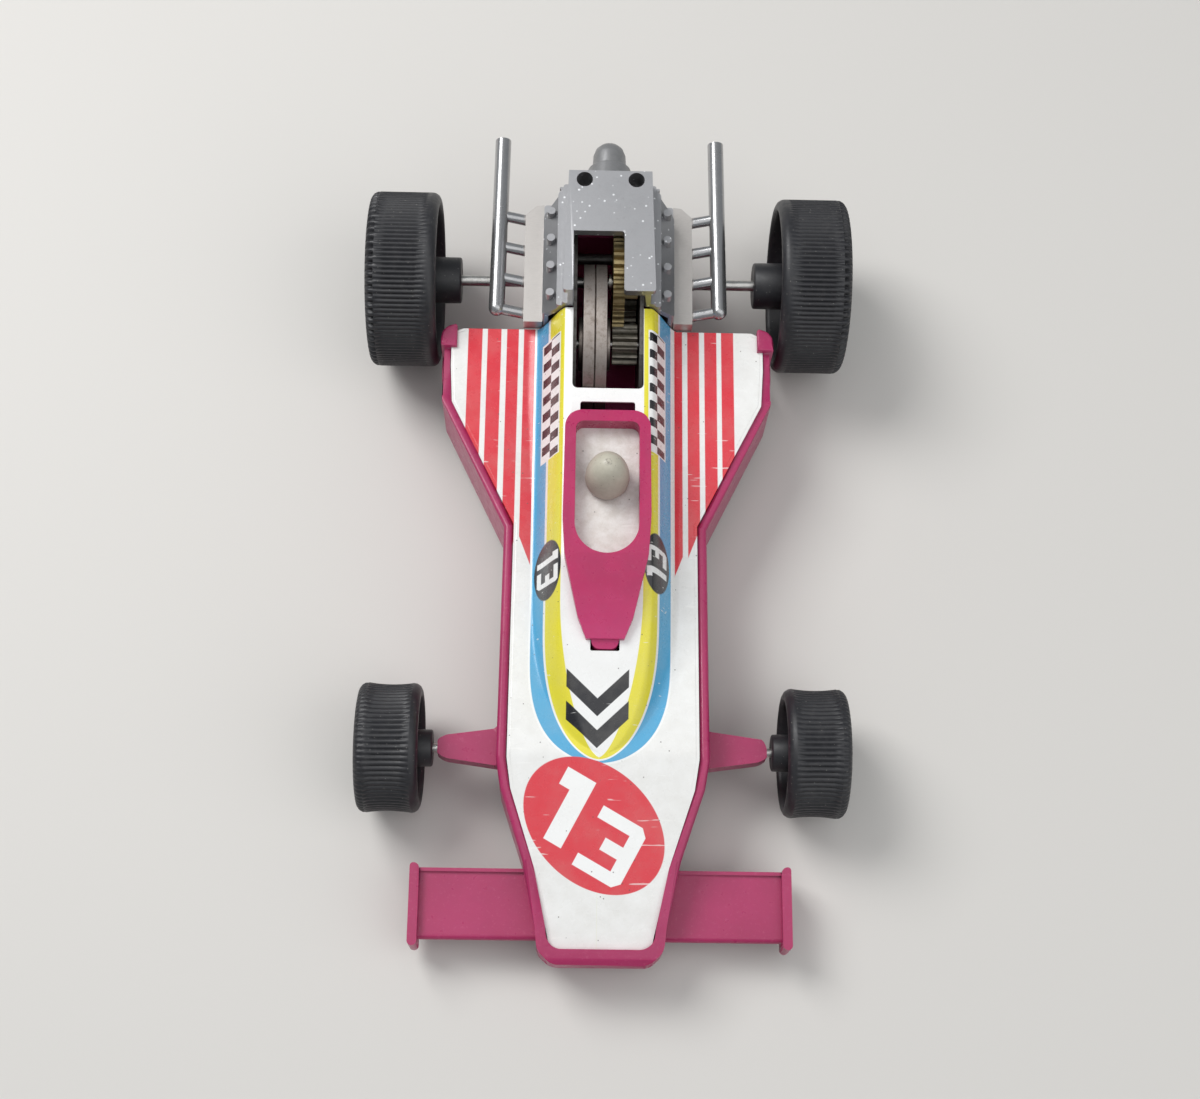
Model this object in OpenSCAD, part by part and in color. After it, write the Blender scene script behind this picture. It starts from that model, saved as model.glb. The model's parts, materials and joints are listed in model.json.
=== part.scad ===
/* [Overall] */
// Distance between the two axles
wheelbase = 102.5; // [98:0.5:110]
// Front axle to the tip of the nose
nose_reach = 43; // [41:0.5:48]
// Rear axle to the open ends of the exhaust pipes
tail_reach = 30.3; // [29:0.1:36]

/* [Wheels] */
// Diameter of the rear wheels over the tread
rear_wheel_d = 37.4; // [36:0.1:40]
// Width of a rear wheel
rear_wheel_w = 14.8; // [12:0.1:18]
// Centre line to the inner edge of a rear wheel
rear_wheel_in = 36.2; // [36.2:0.1:39]
// Diameter of the front wheels over the tread
front_wheel_d = 26.2; // [24:0.1:29]
// Width of a front wheel
front_wheel_w = 13.8; // [11:0.1:16]
// Centre line to the inner edge of a front wheel
front_wheel_in = 35.5; // [35.2:0.1:38]
// Thickness of the plastic under the tread
tread_wall = 2.4; // [1.6:0.1:3]
// Thickness of the wheel's outer web
web_wall = 1.8; // [1.2:0.1:2.4]
// Diameter of the rear wheel's hub
rear_hub_d = 10; // [7:0.1:12]
// Diameter of the front wheel's hub
front_hub_d = 7.6; // [5:0.1:9]
// How far a rear hub stands out of its wheel towards the body
rear_hub_out = 4.6; // [3:0.1:5.5]
// How far a front hub stands out of its wheel towards the body
front_hub_out = 1.2; // [0.5:0.1:1.6]

/* [Axles and shafts] */
// Diameter of the rear axle
rear_axle_d = 2.3; // [2:0.05:3]
// Diameter of the front axle
front_axle_d = 1.8; // [1.4:0.05:2.2]
// Diameter of the flywheel shaft
fly_shaft_d = 1.8; // [1.4:0.05:2.2]
// Diameter of the fixed post that the idler turns on
post_d = 1.7; // [1.4:0.05:2]
// Radial clearance of a shaft that turns in a hole
running = 0.05; // [0.02:0.01:0.09]
// Gap between pieces that are assembled but do not touch
fit_gap = 0.15; // [0.1:0.05:0.3]

/* [Chassis] */
// Half width across the side pods
pod_half = 35.2; // [33:0.1:35.2]
// Half width of the narrow middle
waist_half = 21.2; // [19.5:0.1:23]
// Half width of the nose behind its lip
nose_half = 12.9; // [11.5:0.1:14]
// Half width of the rear box under the engine
box_half = 12.5; // [12:0.1:14]
// Width of the chassis rim
rim_w = 2; // [1.6:0.1:2.4]
// Width of the lip at the front of the nose
lip_w = 2.9; // [2.4:0.1:3.4]
// Width of the ledge that carries the tin body
ledge_w = 1; // [0.8:0.1:1.4]
// Height of the underside above the ground
belly_z = 5.5; // [4.5:0.1:6]
// Thickness of the floor
floor_t = 1.5; // [1.2:0.1:2]
// Height of the rim along the pods and the middle
rim_z = 22.8; // [22:0.1:23]
// Height of the lip at the front of the nose
lip_z = 14; // [13:0.1:15]
// Height of the rear box's walls
box_z = 16.4; // [15:0.1:16.6]

/* [Front suspension and wing] */
// Centre line to the tip of a suspension arm
arm_reach = 33.3; // [31:0.1:33.6]
// Length of an arm along the body, at its root
arm_root = 8; // [6:0.1:10]
// Length of an arm along the body, at its tip
arm_tip = 4.6; // [4:0.1:6]
// Thickness of a suspension arm
arm_t = 3.8; // [3.4:0.1:5]
// Half span of the front wing over its end plates
wing_half = 38.1; // [34:0.1:40]
// Chord of the front wing
wing_chord = 14; // [12:0.1:15]
// Thickness of the front wing's blade
wing_t = 1.5; // [1.2:0.1:2]
// Height of the wing's upper side
wing_z = 10; // [9:0.1:11]
// Height of a wing end plate
end_plate_h = 8; // [6:0.1:9]
// Thickness of a wing end plate
end_plate_t = 1.9; // [1.4:0.1:2.4]

/* [Tin body] */
// Thickness of the tin
tin_t = 0.5; // [0.3:0.05:0.6]
// Height of the flat deck over the side pods
deck_z = 23.5; // [23.3:0.1:24]
// Height of the ridge behind the cockpit
ridge_z = 34.5; // [33.5:0.1:35]
// Half width of the ridge's flat top
ridge_half = 8.9; // [8.5:0.1:9.5]
// Half width of the ridge where it leaves the deck
shoulder_half = 14.7; // [13.5:0.1:16]
// Depth of the folded edge round the tin body
skirt = 4; // [3:0.1:5]
// Half width of the opening over the motor
motor_gap_half = 7.3; // [7:0.1:7.8]
// Rear axle to the front edge of the opening over the motor
motor_gap_reach = 31.8; // [31.6:0.1:33]
// Width of the bent tabs that hold the tin body down
tab_w = 5; // [4:0.1:7]

/* [Cockpit] */
// Half width of the cockpit surround
surround_half = 8.8; // [8.4:0.1:9]
// Half width of the cockpit opening
cockpit_half = 6.4; // [5.5:0.1:6.8]
// Length of the cockpit opening
cockpit_l = 28; // [24:0.1:28.5]
// Height of the cockpit surround
surround_h = 4; // [3:0.1:5]
// Diameter of the driver's head
head_d = 8.9; // [7:0.1:10]
// Height of the driver's head
head_h = 10.8; // [9:0.1:12]

/* [Engine] */
// Rear axle to the engine's front face
engine_front = 13.4; // [12:0.1:13.5]
// Rear axle to the engine's rear face
engine_back = 14.3; // [13:0.1:16]
// Height of the engine's top plate
plate_z = 42; // [41.6:0.1:44]
// Thickness of the top plate
plate_t = 1.4; // [1:0.1:1.6]
// Half width of the top plate at its front
plate_half = 9.5; // [9.2:0.1:10.5]
// Thickness of the engine's walls
engine_wall = 1.3; // [1:0.1:1.4]
// Half width over the cylinder heads
head_half = 13.9; // [13:0.1:15]
// Half width over the valve covers
cover_half = 17.9; // [16.5:0.1:19]
// Diameter of the two sockets for a rear wing
socket_d = 3.4; // [2:0.1:4]
// Centre line to the centre of a rear wing socket
socket_x = 5.4; // [4.8:0.1:6]
// Rear face to the centre of a rear wing socket
socket_back = 2.1; // [2:0.1:4]
// Centre line to the centre of an exhaust collector
collector_x = 23.6; // [22:0.1:25]
// Diameter of an exhaust collector
collector_d = 3.4; // [2.6:0.1:4]
// Diameter of a header pipe
header_d = 2.3; // [1.8:0.1:3]
// Height of the exhaust collectors' centre lines
collector_z = 26; // [25:0.1:28]
// Distance from one header pipe to the next
header_pitch = 7.4; // [6:0.1:7.8]
// Distance from one stud on the cylinder heads to the next
stud_pitch = 6.35; // [5:0.05:6.5]

/* [Friction motor] */
// Size of the gear teeth, pitch diameter over teeth
gear_m = 0.625; // [0.6:0.005:0.64]
// Teeth of the drive gear on the rear axle
drive_teeth = 28; // [26:1:28]
// Teeth of the idler's pinion
idler_pinion_teeth = 9; // [9:1:10]
// Teeth of the idler's gear
idler_teeth = 30; // [28:1:30]
// Teeth of the flywheel's pinion
fly_pinion_teeth = 12; // [12:1:13]
// Diameter of the flywheel
fly_d = 33.4; // [30:0.1:33.6]
// Thickness of the whole flywheel
fly_w = 4.8; // [4:0.1:5]
// Depth of the groove between the flywheel's two discs
fly_groove = 0.8; // [0.4:0.1:1.5]
// Rear axle to the flywheel shaft, measured forwards
fly_forward = 17.4; // [17.4:0.1:19]
// Flywheel shaft above the rear axle
fly_rise = 5.9; // [5:0.1:6.2]
// Half of the space between the motor's side plates
frame_half = 6.6; // [6.5:0.1:6.8]
// Thickness of the motor's side plates
frame_t = 0.8; // [0.6:0.05:0.8]
// Diameter of the pillars between the side plates
pillar_d = 2.4; // [1.8:0.1:2.6]
// Diameter of the screws that hold the motor
screw_d = 1.6; // [1.4:0.1:2]
// Width of the drive gear's teeth along the axle
drive_w = 2.7; // [2.2:0.1:2.8]
// Width of the idler gear's teeth
idler_w = 2.4; // [2:0.1:2.5]

/* [Hidden] */
$fn = 48;
far = 200;

// Landmarks along the car. The nose points to -Y, the driver's left is +X and the
// ground is z = 0.
total_l = wheelbase + nose_reach + tail_reach;
rear_y = total_l / 2 - tail_reach;
front_y = rear_y - wheelbase;
nose_y = front_y - nose_reach;
rear_r = rear_wheel_d / 2;
front_r = front_wheel_d / 2;
tin_rear_y = rear_y - engine_front - 0.3;
pod_rear_y = tin_rear_y - 0.1;
pod_corner_y = rear_y - 30;
waist_y = rear_y - 58;
fold_y = front_y - 3;
box_back_y = rear_y + engine_back;
tin_nose_y = nose_y + lip_w;
tin_nose_z = lip_z;
cockpit_back_y = rear_y - 40.7;
cockpit_front_y = cockpit_back_y - cockpit_l;
surround_back_y = cockpit_back_y + surround_half - cockpit_half;
cowl_front_y = cockpit_front_y - 15.4;
slope_y = cockpit_front_y - 0.5;
bridge_w = 3;
slot_half = 2.9;
slot_back_y = cowl_front_y + 0.8;
slot_l = 2.6;
floor_z = belly_z + floor_t;

// Nose and belly shape
nose_slope = (deck_z - tin_nose_z) / (fold_y - tin_nose_y);
ridge_slope = (ridge_z - deck_z) / (slope_y - fold_y);
lip_back = 1.2;
lip_rise = 0.8;

// Wings, arms and hooks
wing_front_y = nose_y + 5.2;
edge_d = 2.2;
arm_z = front_r + 1.9;
hook_in = 3.4;
hook_l = 4.4;
hook_t = 1.2;

// Engine heights
rib_z = 36;
step_z = 34.8;
head_z = 33.2;
cover_z = 26.8;
cover_t = 3.4;
notch_left = 7.5;
notch_right = 3;
notch_l = 13.6;
socket_y = rear_y + engine_back - socket_back;
socket_l = 6;
stud_d = 1.7;
stud_h = 2;
stud_shift = -0.3;
axle_hole_d = 4.4;
gearbox_z = 27;

// Motor layout along X: the gears keep clear of the left side plate, the flywheel of
// the right one, and both turn clear of the chassis
gear_gap = 0.4;
layer_gap = 0.2;
washer_gap = 0.5;
spin_gap = 0.5;
washer_d = 11.2;
washer_t = 0.9;
gear_x1 = frame_half - gear_gap;
gear_x0 = gear_x1 - drive_w;
idler_x1 = gear_x0 - layer_gap;
idler_x0 = idler_x1 - idler_w;
pinion_x0 = idler_x0 + 0.1;
fly_x0 = washer_gap + washer_t - frame_half;
fly_x1 = fly_x0 + fly_w;
groove_w = 0.3;
shaft_over = 0.6;
bush_d = 4.4;
bush_flange_d = 6;
bush_flange_t = 0.6;
post_head_d = 3.4;
post_head_t = 0.5;
foot_w = box_half - rim_w - frame_half - frame_t - 0.1;
foot_l = 6;
screw_x = frame_half + frame_t + foot_w / 2 + 0.1;
screw_head_d = 3;
screw_head_t = 0.8;
screw_fwd = [-6, 35];
post_gap = 0.3;
gear_addendum = 0.65;
pinion_addendum = 0.95;
dedendum = 1.15;
tooth_fill = 0.9;

// The idler sits where its gears mesh with both the drive gear and the flywheel pinion
axle_at = [rear_y, rear_r];
fly_at = [rear_y - fly_forward, rear_r + fly_rise];
reach_1 = gear_m * (drive_teeth + idler_pinion_teeth) / 2;
reach_2 = gear_m * (idler_teeth + fly_pinion_teeth) / 2;
idler_at = meet(axle_at, reach_1, fly_at, reach_2);
drive_d = gear_m * (drive_teeth + 2 * gear_addendum);

// Side plates of the motor, seen from the left: forwards of the axle and above the floor
frame_back = engine_back - rim_w - 0.4;
plate_top = rear_r + 14.1 - floor_z;
plate_shape = [[-frame_back, 0], [-frame_back, 8], [-9.6, plate_top - 1.3], [-6, plate_top],
    [9, plate_top], [22, plate_top - 2.8], [39, 13], [39, 0]];
pillar_at = [[rear_y + 9.2, rear_r - 6.7], [rear_y + 8, rear_r + 11.3],
    [rear_y - 36.6, floor_z + 9]];
pillar_neck = 0.6;

// Driver, wheels and ridge
head_y = rear_y - 52.2;
peg_d = 2.4;
hub_cap = 2;
ridge_steps = 14;
function tab_y() = [waist_y - 8, front_y + 12];
function axle_half(wheel_in, wheel_w) = wheel_in + wheel_w - hub_cap;

// Upper crossing point of a circle round a and a circle round b
function meet(a, ra, b, rb) = let (
        d = norm(b - a),
        u = (b - a) / d,
        along = (ra * ra - rb * rb + d * d) / (2 * d),
        up = sqrt(ra * ra - along * along))
    a + along * u + up * [u[1], -u[0]];

function angle_to(a, b) = atan2(b[1] - a[1], b[0] - a[0]);

// A closed outline from its right half, given from front to back
function both_sides(half) =
    concat(half, [for (i = [len(half) - 1:-1:0]) [-half[i][0], half[i][1]]]);

function normal(a, b) = [a[1] - b[1], b[0] - a[0]] / norm(b - a);

// The same outline moved inwards by w
function inset(pts, w) = let (n = len(pts)) [for (i = [0:n - 1]) let (
        before = normal(pts[(i + n - 1) % n], pts[i]),
        after = normal(pts[i], pts[(i + 1) % n]))
    pts[i] + w * (before + after) / (1 + before * after)];

// Right half of the body's plan, from the nose to the side pods. The nose lies back by lip.
function body_half(back_y, lip) = [
    [nose_half - 3.2, nose_y + lip],
    [nose_half - 0.4, nose_y + 2.6 + lip],
    [nose_half, nose_y + 7],
    [nose_half + 2.7, nose_y + 19.5],
    [waist_half - 0.9, nose_y + 33.5],
    [waist_half, nose_y + 39],
    [waist_half - 0.3, waist_y],
    [pod_half - 0.6, pod_corner_y],
    [pod_half, pod_corner_y + 8],
    [pod_half, back_y]];

tray_outline = both_sides(concat(body_half(pod_rear_y, 0),
    [[box_half, pod_rear_y], [box_half, box_back_y]]));
tin_outline = inset(both_sides(body_half(tin_rear_y + rim_w + fit_gap, lip_w - rim_w)),
    rim_w + fit_gap);

// Height of the tin deck at y, and of the ridge
function deck_at(y) = y > fold_y ? deck_z : deck_z - nose_slope * (fold_y - y);
function ridge_at(y) = y > slope_y ? ridge_z : ridge_z - ridge_slope * (slope_y - y);

// Shape between a low and a high line, seen from the side and as wide as the car
module side_band(pts) {
    translate([-far / 2, 0, 0])
        rotate([90, 0, 90])
            linear_extrude(far)
                polygon(pts);
}

// The deck's side line moved down by drop, from ahead of the nose to behind the box
function deck_line(drop) = [
    [nose_y - 1, deck_at(nose_y - 1) - drop],
    [fold_y, deck_z - drop],
    [box_back_y + 1, deck_z - drop]];

module above_line(drop) {
    side_band(concat(deck_line(drop), [[box_back_y + 1, far], [nose_y - 1, far]]));
}

module below_line(drop) {
    side_band(concat([[nose_y - 1, -1], [box_back_y + 1, -1]],
        [for (i = [2:-1:0]) deck_line(drop)[i]]));
}

module box(x, y, z) {
    translate([x[0], y[0], z[0]])
        cube([x[1] - x[0], y[1] - y[0], z[1] - z[0]]);
}

module on_both_sides() {
    children();
    mirror([1, 0, 0])
        children();
}

// Cylinder along X at a place given by its Y and Z
module rod(at, d, x0, x1) {
    translate([x0, at[0], at[1]])
        rotate([0, 90, 0])
            cylinder(h = x1 - x0, d = d);
}

module pipe(a, b, d) {
    v = b - a;
    translate(a)
        rotate([0, acos(v[2] / norm(v)), atan2(v[1], v[0])])
            cylinder(h = norm(v), d = d);
}

// ---- Chassis ----

module tray() {
    side_line = [
        [nose_y - 1, belly_z + 4],
        [nose_y + 4, belly_z],
        [box_back_y + 1, belly_z],
        [box_back_y + 1, rim_z],
        [fold_y, rim_z],
        [nose_y + lip_back, lip_z + lip_rise],
        [nose_y - 1, lip_z - 1]];
    difference() {
        intersection() {
            linear_extrude(rim_z)
                polygon(tray_outline);
            side_band(side_line);
        }
        intersection() {
            linear_extrude(far)
                polygon(inset(both_sides(body_half(far, lip_w - rim_w)), rim_w));
            above_line(tin_t + skirt);
            box([-far, far], [-far, pod_rear_y + 1], [0, far]);
        }
        intersection() {
            translate([0, 0, floor_z])
                linear_extrude(far)
                    polygon(inset(tray_outline, rim_w + ledge_w));
            below_line(tin_t);
        }
        box([rim_w - box_half, box_half - rim_w], [pod_rear_y - 5, box_back_y - rim_w],
            [floor_z, far]);
        box([-far, far], [pod_rear_y, far], [box_z, far]);
        motor_room();
    }
}

// Space that the rear axle, its gear and the flywheel turn in
module motor_room() {
    slot = rear_axle_d / 2 + 0.3;
    rod(fly_at, fly_d + 2 * spin_gap, fly_x0 - spin_gap, fly_x1 + spin_gap);
    rod(axle_at, drive_d + 2 * spin_gap, gear_x0 - spin_gap, gear_x1 + spin_gap);
    box([-far, far], [rear_y - slot, rear_y + slot], [rear_r - slot, far]);
}

module arm() {
    difference() {
        translate([0, front_y, arm_z - arm_t])
            linear_extrude(arm_t)
                polygon([[waist_half - 1, -arm_root / 2], [arm_reach - 1, -arm_tip / 2],
                    [arm_reach, -arm_tip / 2 + 1], [arm_reach, arm_tip / 2 - 1],
                    [arm_reach - 1, arm_tip / 2], [waist_half - 1, arm_root / 2]]);
        rod([front_y, front_r], front_axle_d + 2 * running, 0, far);
    }
}

module wing() {
    root_x = nose_half + 0.4;
    blade_x = wing_half - end_plate_t;
    back_y = wing_front_y + wing_chord;
    box([root_x - 1, blade_x], [wing_front_y + edge_d / 2, back_y], [wing_z - wing_t, wing_z]);
    rod([wing_front_y + edge_d / 2, wing_z - edge_d / 2], edge_d, root_x - 1, blade_x);
    box([root_x + 2, blade_x], [back_y - 0.7, back_y], [wing_z, wing_z + 0.7]);
    box([blade_x, wing_half], [wing_front_y - 0.6, back_y + 0.8],
        [wing_z + 2 - end_plate_h, wing_z + 2]);
    translate([wing_half - end_plate_t / 2, wing_front_y - 0.6, wing_z + 2 - end_plate_h])
        cylinder(h = end_plate_h, d = end_plate_t);
}

module hook() {
    inner_x = pod_half - hook_in;
    box([inner_x, pod_half], [pod_rear_y - hook_l, tin_rear_y + 0.5], [deck_z, deck_z + hook_t]);
    box([pod_half - rim_w, pod_half], [pod_rear_y - hook_l, pod_rear_y], [rim_z - 1, deck_z]);
    box([inner_x, pod_half], [tin_rear_y + 0.05, tin_rear_y + 0.5],
        [rim_z - 6, deck_z + hook_t]);
    box([inner_x, pod_half], [pod_rear_y - 1, tin_rear_y + 0.5], [rim_z - 6, deck_z - skirt - 1]);
}

module chassis() {
    color([0.62, 0.1, 0.32])
        difference() {
            union() {
                tray();
                on_both_sides() {
                    arm();
                    wing();
                    hook();
                }
            }
            rod([front_y, front_r], front_axle_d + 2 * running, -far, far);
            on_both_sides() {
                box([pod_half - 0.7, pod_half + 1], [pod_corner_y + 1, pod_rear_y - hook_l],
                    [rim_z - 5, far]);
                for (y = tab_y())
                    box([waist_half - rim_w - fit_gap * 2 - tin_t * 2 - 0.4,
                        waist_half - rim_w + 0.4],
                        [y - tab_w / 2 - fit_gap, y + tab_w / 2 + fit_gap],
                        [0, deck_z - skirt]);
                for (f = screw_fwd)
                    translate([screw_x, rear_y - f, 0])
                        cylinder(h = far / 10, d = screw_d);
            }
        }
}

// ---- Tin body ----

// Half width of the ridge at its foot, rounding in to a point at the fold
function foot_half(y) = y > slope_y ? shoulder_half :
    shoulder_half * pow(max(0, 1 - pow((slope_y - y) / (slope_y - fold_y), 3)), 0.6);
function crest_half(y) = ridge_half * foot_half(y) / shoulder_half;

ridge_y = concat([tin_rear_y, cockpit_back_y],
    [for (i = [0:ridge_steps]) slope_y - (slope_y - fold_y) * (i / ridge_steps) * 0.985]);

// One cross-section of the ridge at y, moved inwards and down by t
function ridge_section(y, t) = let (
        foot = foot_half(y) - t * 1.15,
        crest = crest_half(y) - t * 0.6,
        low = deck_at(y) - t,
        rise = ridge_at(y) - deck_at(y),
        bulge = rise / (ridge_z - deck_z))
    [[foot, low - 1.2 * tin_t], [foot, low],
        [crest + (foot - crest) * 0.52 + 0.5 * bulge, low + rise * 0.5],
        [crest + 0.8 * bulge, low + rise * 0.92],
        [crest - 0.3 * bulge, low + rise]];

module ridge(t) {
    sections = [for (y = ridge_y) let (
            back = y == tin_rear_y ? t : 0,
            half = ridge_section(y, t),
            ring = both_sides(half))
        [for (p = ring) [p[0], y + back, p[1]]]];
    n = len(sections[0]);
    last = len(sections) - 1;
    polyhedron(
        points = [for (s = sections) for (p = s) p],
        faces = concat(
            [for (i = [1:n - 2]) [0, i, i + 1]],
            [for (i = [1:n - 2]) [last * n, last * n + i + 1, last * n + i]],
            [for (k = [0:last - 1]) for (i = [0:n - 1]) let (j = (i + 1) % n)
                [k * n + i, (k + 1) * n + i, (k + 1) * n + j]],
            [for (k = [0:last - 1]) for (i = [0:n - 1]) let (j = (i + 1) % n)
                [k * n + i, (k + 1) * n + j, k * n + j]]));
}

module tin_sheet() {
    difference() {
        union() {
            intersection() {
                linear_extrude(far)
                    polygon(tin_outline);
                above_line(tin_t + skirt);
                below_line(0);
            }
            ridge(0);
        }
        difference() {
            intersection() {
                linear_extrude(far)
                    polygon(inset(tin_outline, tin_t));
                below_line(tin_t);
            }
            box([-far, far], [tin_rear_y - tin_t, far], [0, far]);
        }
        ridge(tin_t);
        box([-ridge_half, ridge_half], [tin_rear_y - 2, far], [0, ridge_z - tin_t]);
        box([-shoulder_half + 1, shoulder_half - 1], [tin_rear_y - 1, far], [0, deck_z]);
    }
}

module tab(y) {
    x = waist_half - rim_w - fit_gap - tin_t;
    box([x - 0.25, x + tin_t - 0.25], [y - tab_w / 2, y + tab_w / 2],
        [belly_z - fit_gap - tin_t, deck_z - 1]);
    box([x - 3, x], [y - tab_w / 2, y + tab_w / 2],
        [belly_z - fit_gap - tin_t, belly_z - fit_gap]);
}

module tin_body() {
    color([0.93, 0.92, 0.89]) {
        difference() {
            tin_sheet();
            box([-motor_gap_half, motor_gap_half], [rear_y - motor_gap_reach, far],
                [deck_z - 2, far]);
            box([-5.6, 5.6], [surround_back_y - 0.9, rear_y - motor_gap_reach - bridge_w],
                [deck_z, far]);
            box([-slot_half, slot_half], [slot_back_y - slot_l, slot_back_y], [deck_z, far]);
            translate([0, head_y, deck_z])
                cylinder(h = far, d = peg_d + 2 * fit_gap);
        }
        on_both_sides()
            for (y = tab_y())
                tab(y);
    }
}

// ---- Cockpit ----

module surround_plan() {
    polygon(both_sides([
        [slot_half + 0.9, cowl_front_y],
        [slot_half + 2.6, cowl_front_y + 4],
        [surround_half - 0.5, cockpit_front_y],
        [surround_half, cockpit_front_y + 8],
        [surround_half - 0.2, surround_back_y - 2],
        [surround_half - 2.2, surround_back_y]]));
}

module cockpit_plan() {
    translate([0, cockpit_front_y + cockpit_half])
        circle(r = cockpit_half);
    translate([-cockpit_half, cockpit_front_y + cockpit_half])
        square([2 * cockpit_half, cockpit_l - cockpit_half]);
}

// Tab at the front of the cowl, which fills its slot and is flush with the tin
module front_tab() {
    tab_back = slot_back_y - fit_gap;
    tab_front = slot_back_y - slot_l + fit_gap;
    tab_low = ridge_at(slot_back_y) - 3;
    intersection() {
        box([-slot_half + fit_gap, slot_half - fit_gap], [tab_front, tab_back], [0, far]);
        side_band([
            [tab_front, tab_low],
            [tab_back, tab_low],
            [tab_back, ridge_at(tab_back) + 0.6],
            [cowl_front_y, ridge_at(cowl_front_y) + 0.4],
            [tab_front, ridge_at(tab_front)]]);
    }
}

module cockpit_surround() {
    color([0.74, 0.1, 0.4]) {
        difference() {
            intersection() {
                linear_extrude(far)
                    surround_plan();
                side_band([
                    [surround_back_y + 1, ridge_z],
                    [slope_y, ridge_z],
                    [cowl_front_y - 1, ridge_at(cowl_front_y - 1)],
                    [cowl_front_y - 1, ridge_at(cowl_front_y - 1) + 1],
                    [cowl_front_y + 1.2, ridge_at(cowl_front_y) + 1.8],
                    [cockpit_front_y, ridge_z + surround_h],
                    [surround_back_y + 1, ridge_z + surround_h]]);
            }
            linear_extrude(far)
                cockpit_plan();
        }
        front_tab();
        box([-5.2, 5.2], [surround_back_y - 0.7, surround_back_y + 0.1],
            [ridge_z - 3, ridge_z + 1]);
    }
}

module driver_head() {
    r = head_d / 2;
    color([0.62, 0.6, 0.53])
        translate([0, head_y, ridge_z]) {
            rotate_extrude()
                polygon(concat([[0, 0], [r * 0.82, 0], [r * 0.97, 0.8]],
                    [for (a = [0:9:81]) [r * cos(a), 1.8 + (head_h - 1.8) * sin(a)]],
                    [[0, head_h]]));
            translate([0, 0, -1.6])
                cylinder(h = 1.8, d = peg_d);
        }
}

// ---- Engine ----

engine_half = [
    [box_half, box_z],
    [box_half, cover_z - cover_t - 1.4],
    [head_half, cover_z - cover_t],
    [head_half, head_z - 3],
    [plate_half + 1.4, head_z],
    [plate_half + 1.4, step_z],
    [plate_half + 0.3, step_z],
    [plate_half + 0.3, rib_z],
    [plate_half - 0.9, rib_z],
    [plate_half - 0.9, plate_z - plate_t / 2]];

module engine_prism(pts, y0, y1) {
    translate([0, y1, 0])
        rotate([90, 0, 0])
            linear_extrude(y1 - y0)
                polygon(pts);
}

module engine_block() {
    y0 = rear_y - engine_front;
    y1 = rear_y + engine_back;
    color([0.72, 0.72, 0.73])
        difference() {
            union() {
                engine_prism(both_sides(engine_half), y0, y1);
                translate([0, 0, plate_z - plate_t])
                    linear_extrude(plate_t)
                        polygon(both_sides([[plate_half, y0], [plate_half - 0.8, y1]]));
                on_both_sides()
                    for (i = [-1.5:1:1.5])
                        translate([head_half - 1.6, rear_y + stud_shift + i * stud_pitch,
                            head_z - 2.4])
                            cylinder(h = stud_h + 1, d = stud_d);
            }
            difference() {
                engine_prism(inset(both_sides(concat([[box_half, box_z - 9]],
                    [for (i = [1:9]) engine_half[i]])), engine_wall),
                    y0 - 1, y1 - engine_wall);
                on_both_sides()
                    translate([socket_x, socket_y, plate_z - socket_l])
                        cylinder(h = socket_l, d = socket_d + 2);
            }
            box([-notch_left, notch_right], [y0 - 1, y0 + notch_l], [rib_z, far]);
            on_both_sides() {
                translate([socket_x, socket_y, plate_z - socket_l - 1])
                    cylinder(h = socket_l + 2, d = socket_d);
                translate([head_half - 3, y1, 0])
                    rotate([0, 0, -45])
                        box([0, 9], [-1, 9], [cover_z, far]);
                box([0, far], [rear_y - axle_hole_d / 2, rear_y + axle_hole_d / 2], [0, rear_r]);
                rod(axle_at, axle_hole_d, 0, far);
            }
        }
}

module exhaust(side) {
    mid_z = cover_z - cover_t / 2;
    cover_front = rear_y - engine_front;
    cover_back = rear_y + engine_back;
    front_pipe = rear_y - 1.5 * header_pitch + 0.2;
    bend_y = front_pipe + 0.9;
    color([0.78, 0.78, 0.79])
        mirror([side < 0 ? 1 : 0, 0, 0]) {
            translate([0, 0, cover_z - cover_t])
                linear_extrude(cover_t)
                    polygon([[head_half, cover_front], [cover_half, cover_front],
                        [cover_half, cover_back - 2.4], [cover_half - 2.3, cover_back - 0.2],
                        [head_half, cover_back]]);
            for (i = [0:3])
                pipe([cover_half - 0.8, front_pipe + i * header_pitch, mid_z],
                    [collector_x, front_pipe + i * header_pitch + 0.9, collector_z], header_d);
            pipe([collector_x, bend_y, collector_z],
                [collector_x - 0.4, rear_y + tail_reach, collector_z], collector_d);
            translate([collector_x, bend_y, collector_z])
                sphere(d = collector_d);
        }
}

module exhaust_left() {
    exhaust(1);
}

module exhaust_right() {
    exhaust(-1);
}

module gearbox_cover() {
    color([0.5, 0.5, 0.5])
        translate([0, rear_y + engine_back, gearbox_z])
            rotate([-90, 0, 0])
                rotate_extrude()
                    polygon([[0, 0], [6.2, 0], [6.2, 2.4], [5.6, 2.8], [4.6, 8.6], [3.7, 8.9],
                        [3.5, 12], [3, 13.4], [2, 14.4], [0, 14.8]]);
}

// ---- Motor frame ----

module frame_plate() {
    x = frame_half;
    difference() {
        translate([x, 0, floor_z])
            rotate([90, 0, 90])
                linear_extrude(frame_t)
                    polygon([for (p = plate_shape) [rear_y - p[0], p[1]]]);
        rod(axle_at, bush_d, x - 1, x + 2);
        rod(fly_at, fly_shaft_d + 2 * running, x - 1, x + 2);
        for (p = pillar_at)
            rod(p, pillar_d * pillar_neck, x - 1, x + 2);
    }
    for (f = screw_fwd)
        difference() {
            box([x + frame_t - 0.1, x + frame_t + foot_w],
                [rear_y - f - foot_l / 2, rear_y - f + foot_l / 2], [floor_z, floor_z + frame_t]);
            translate([screw_x, rear_y - f, 0])
                cylinder(h = far / 10, d = screw_d);
        }
}

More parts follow.
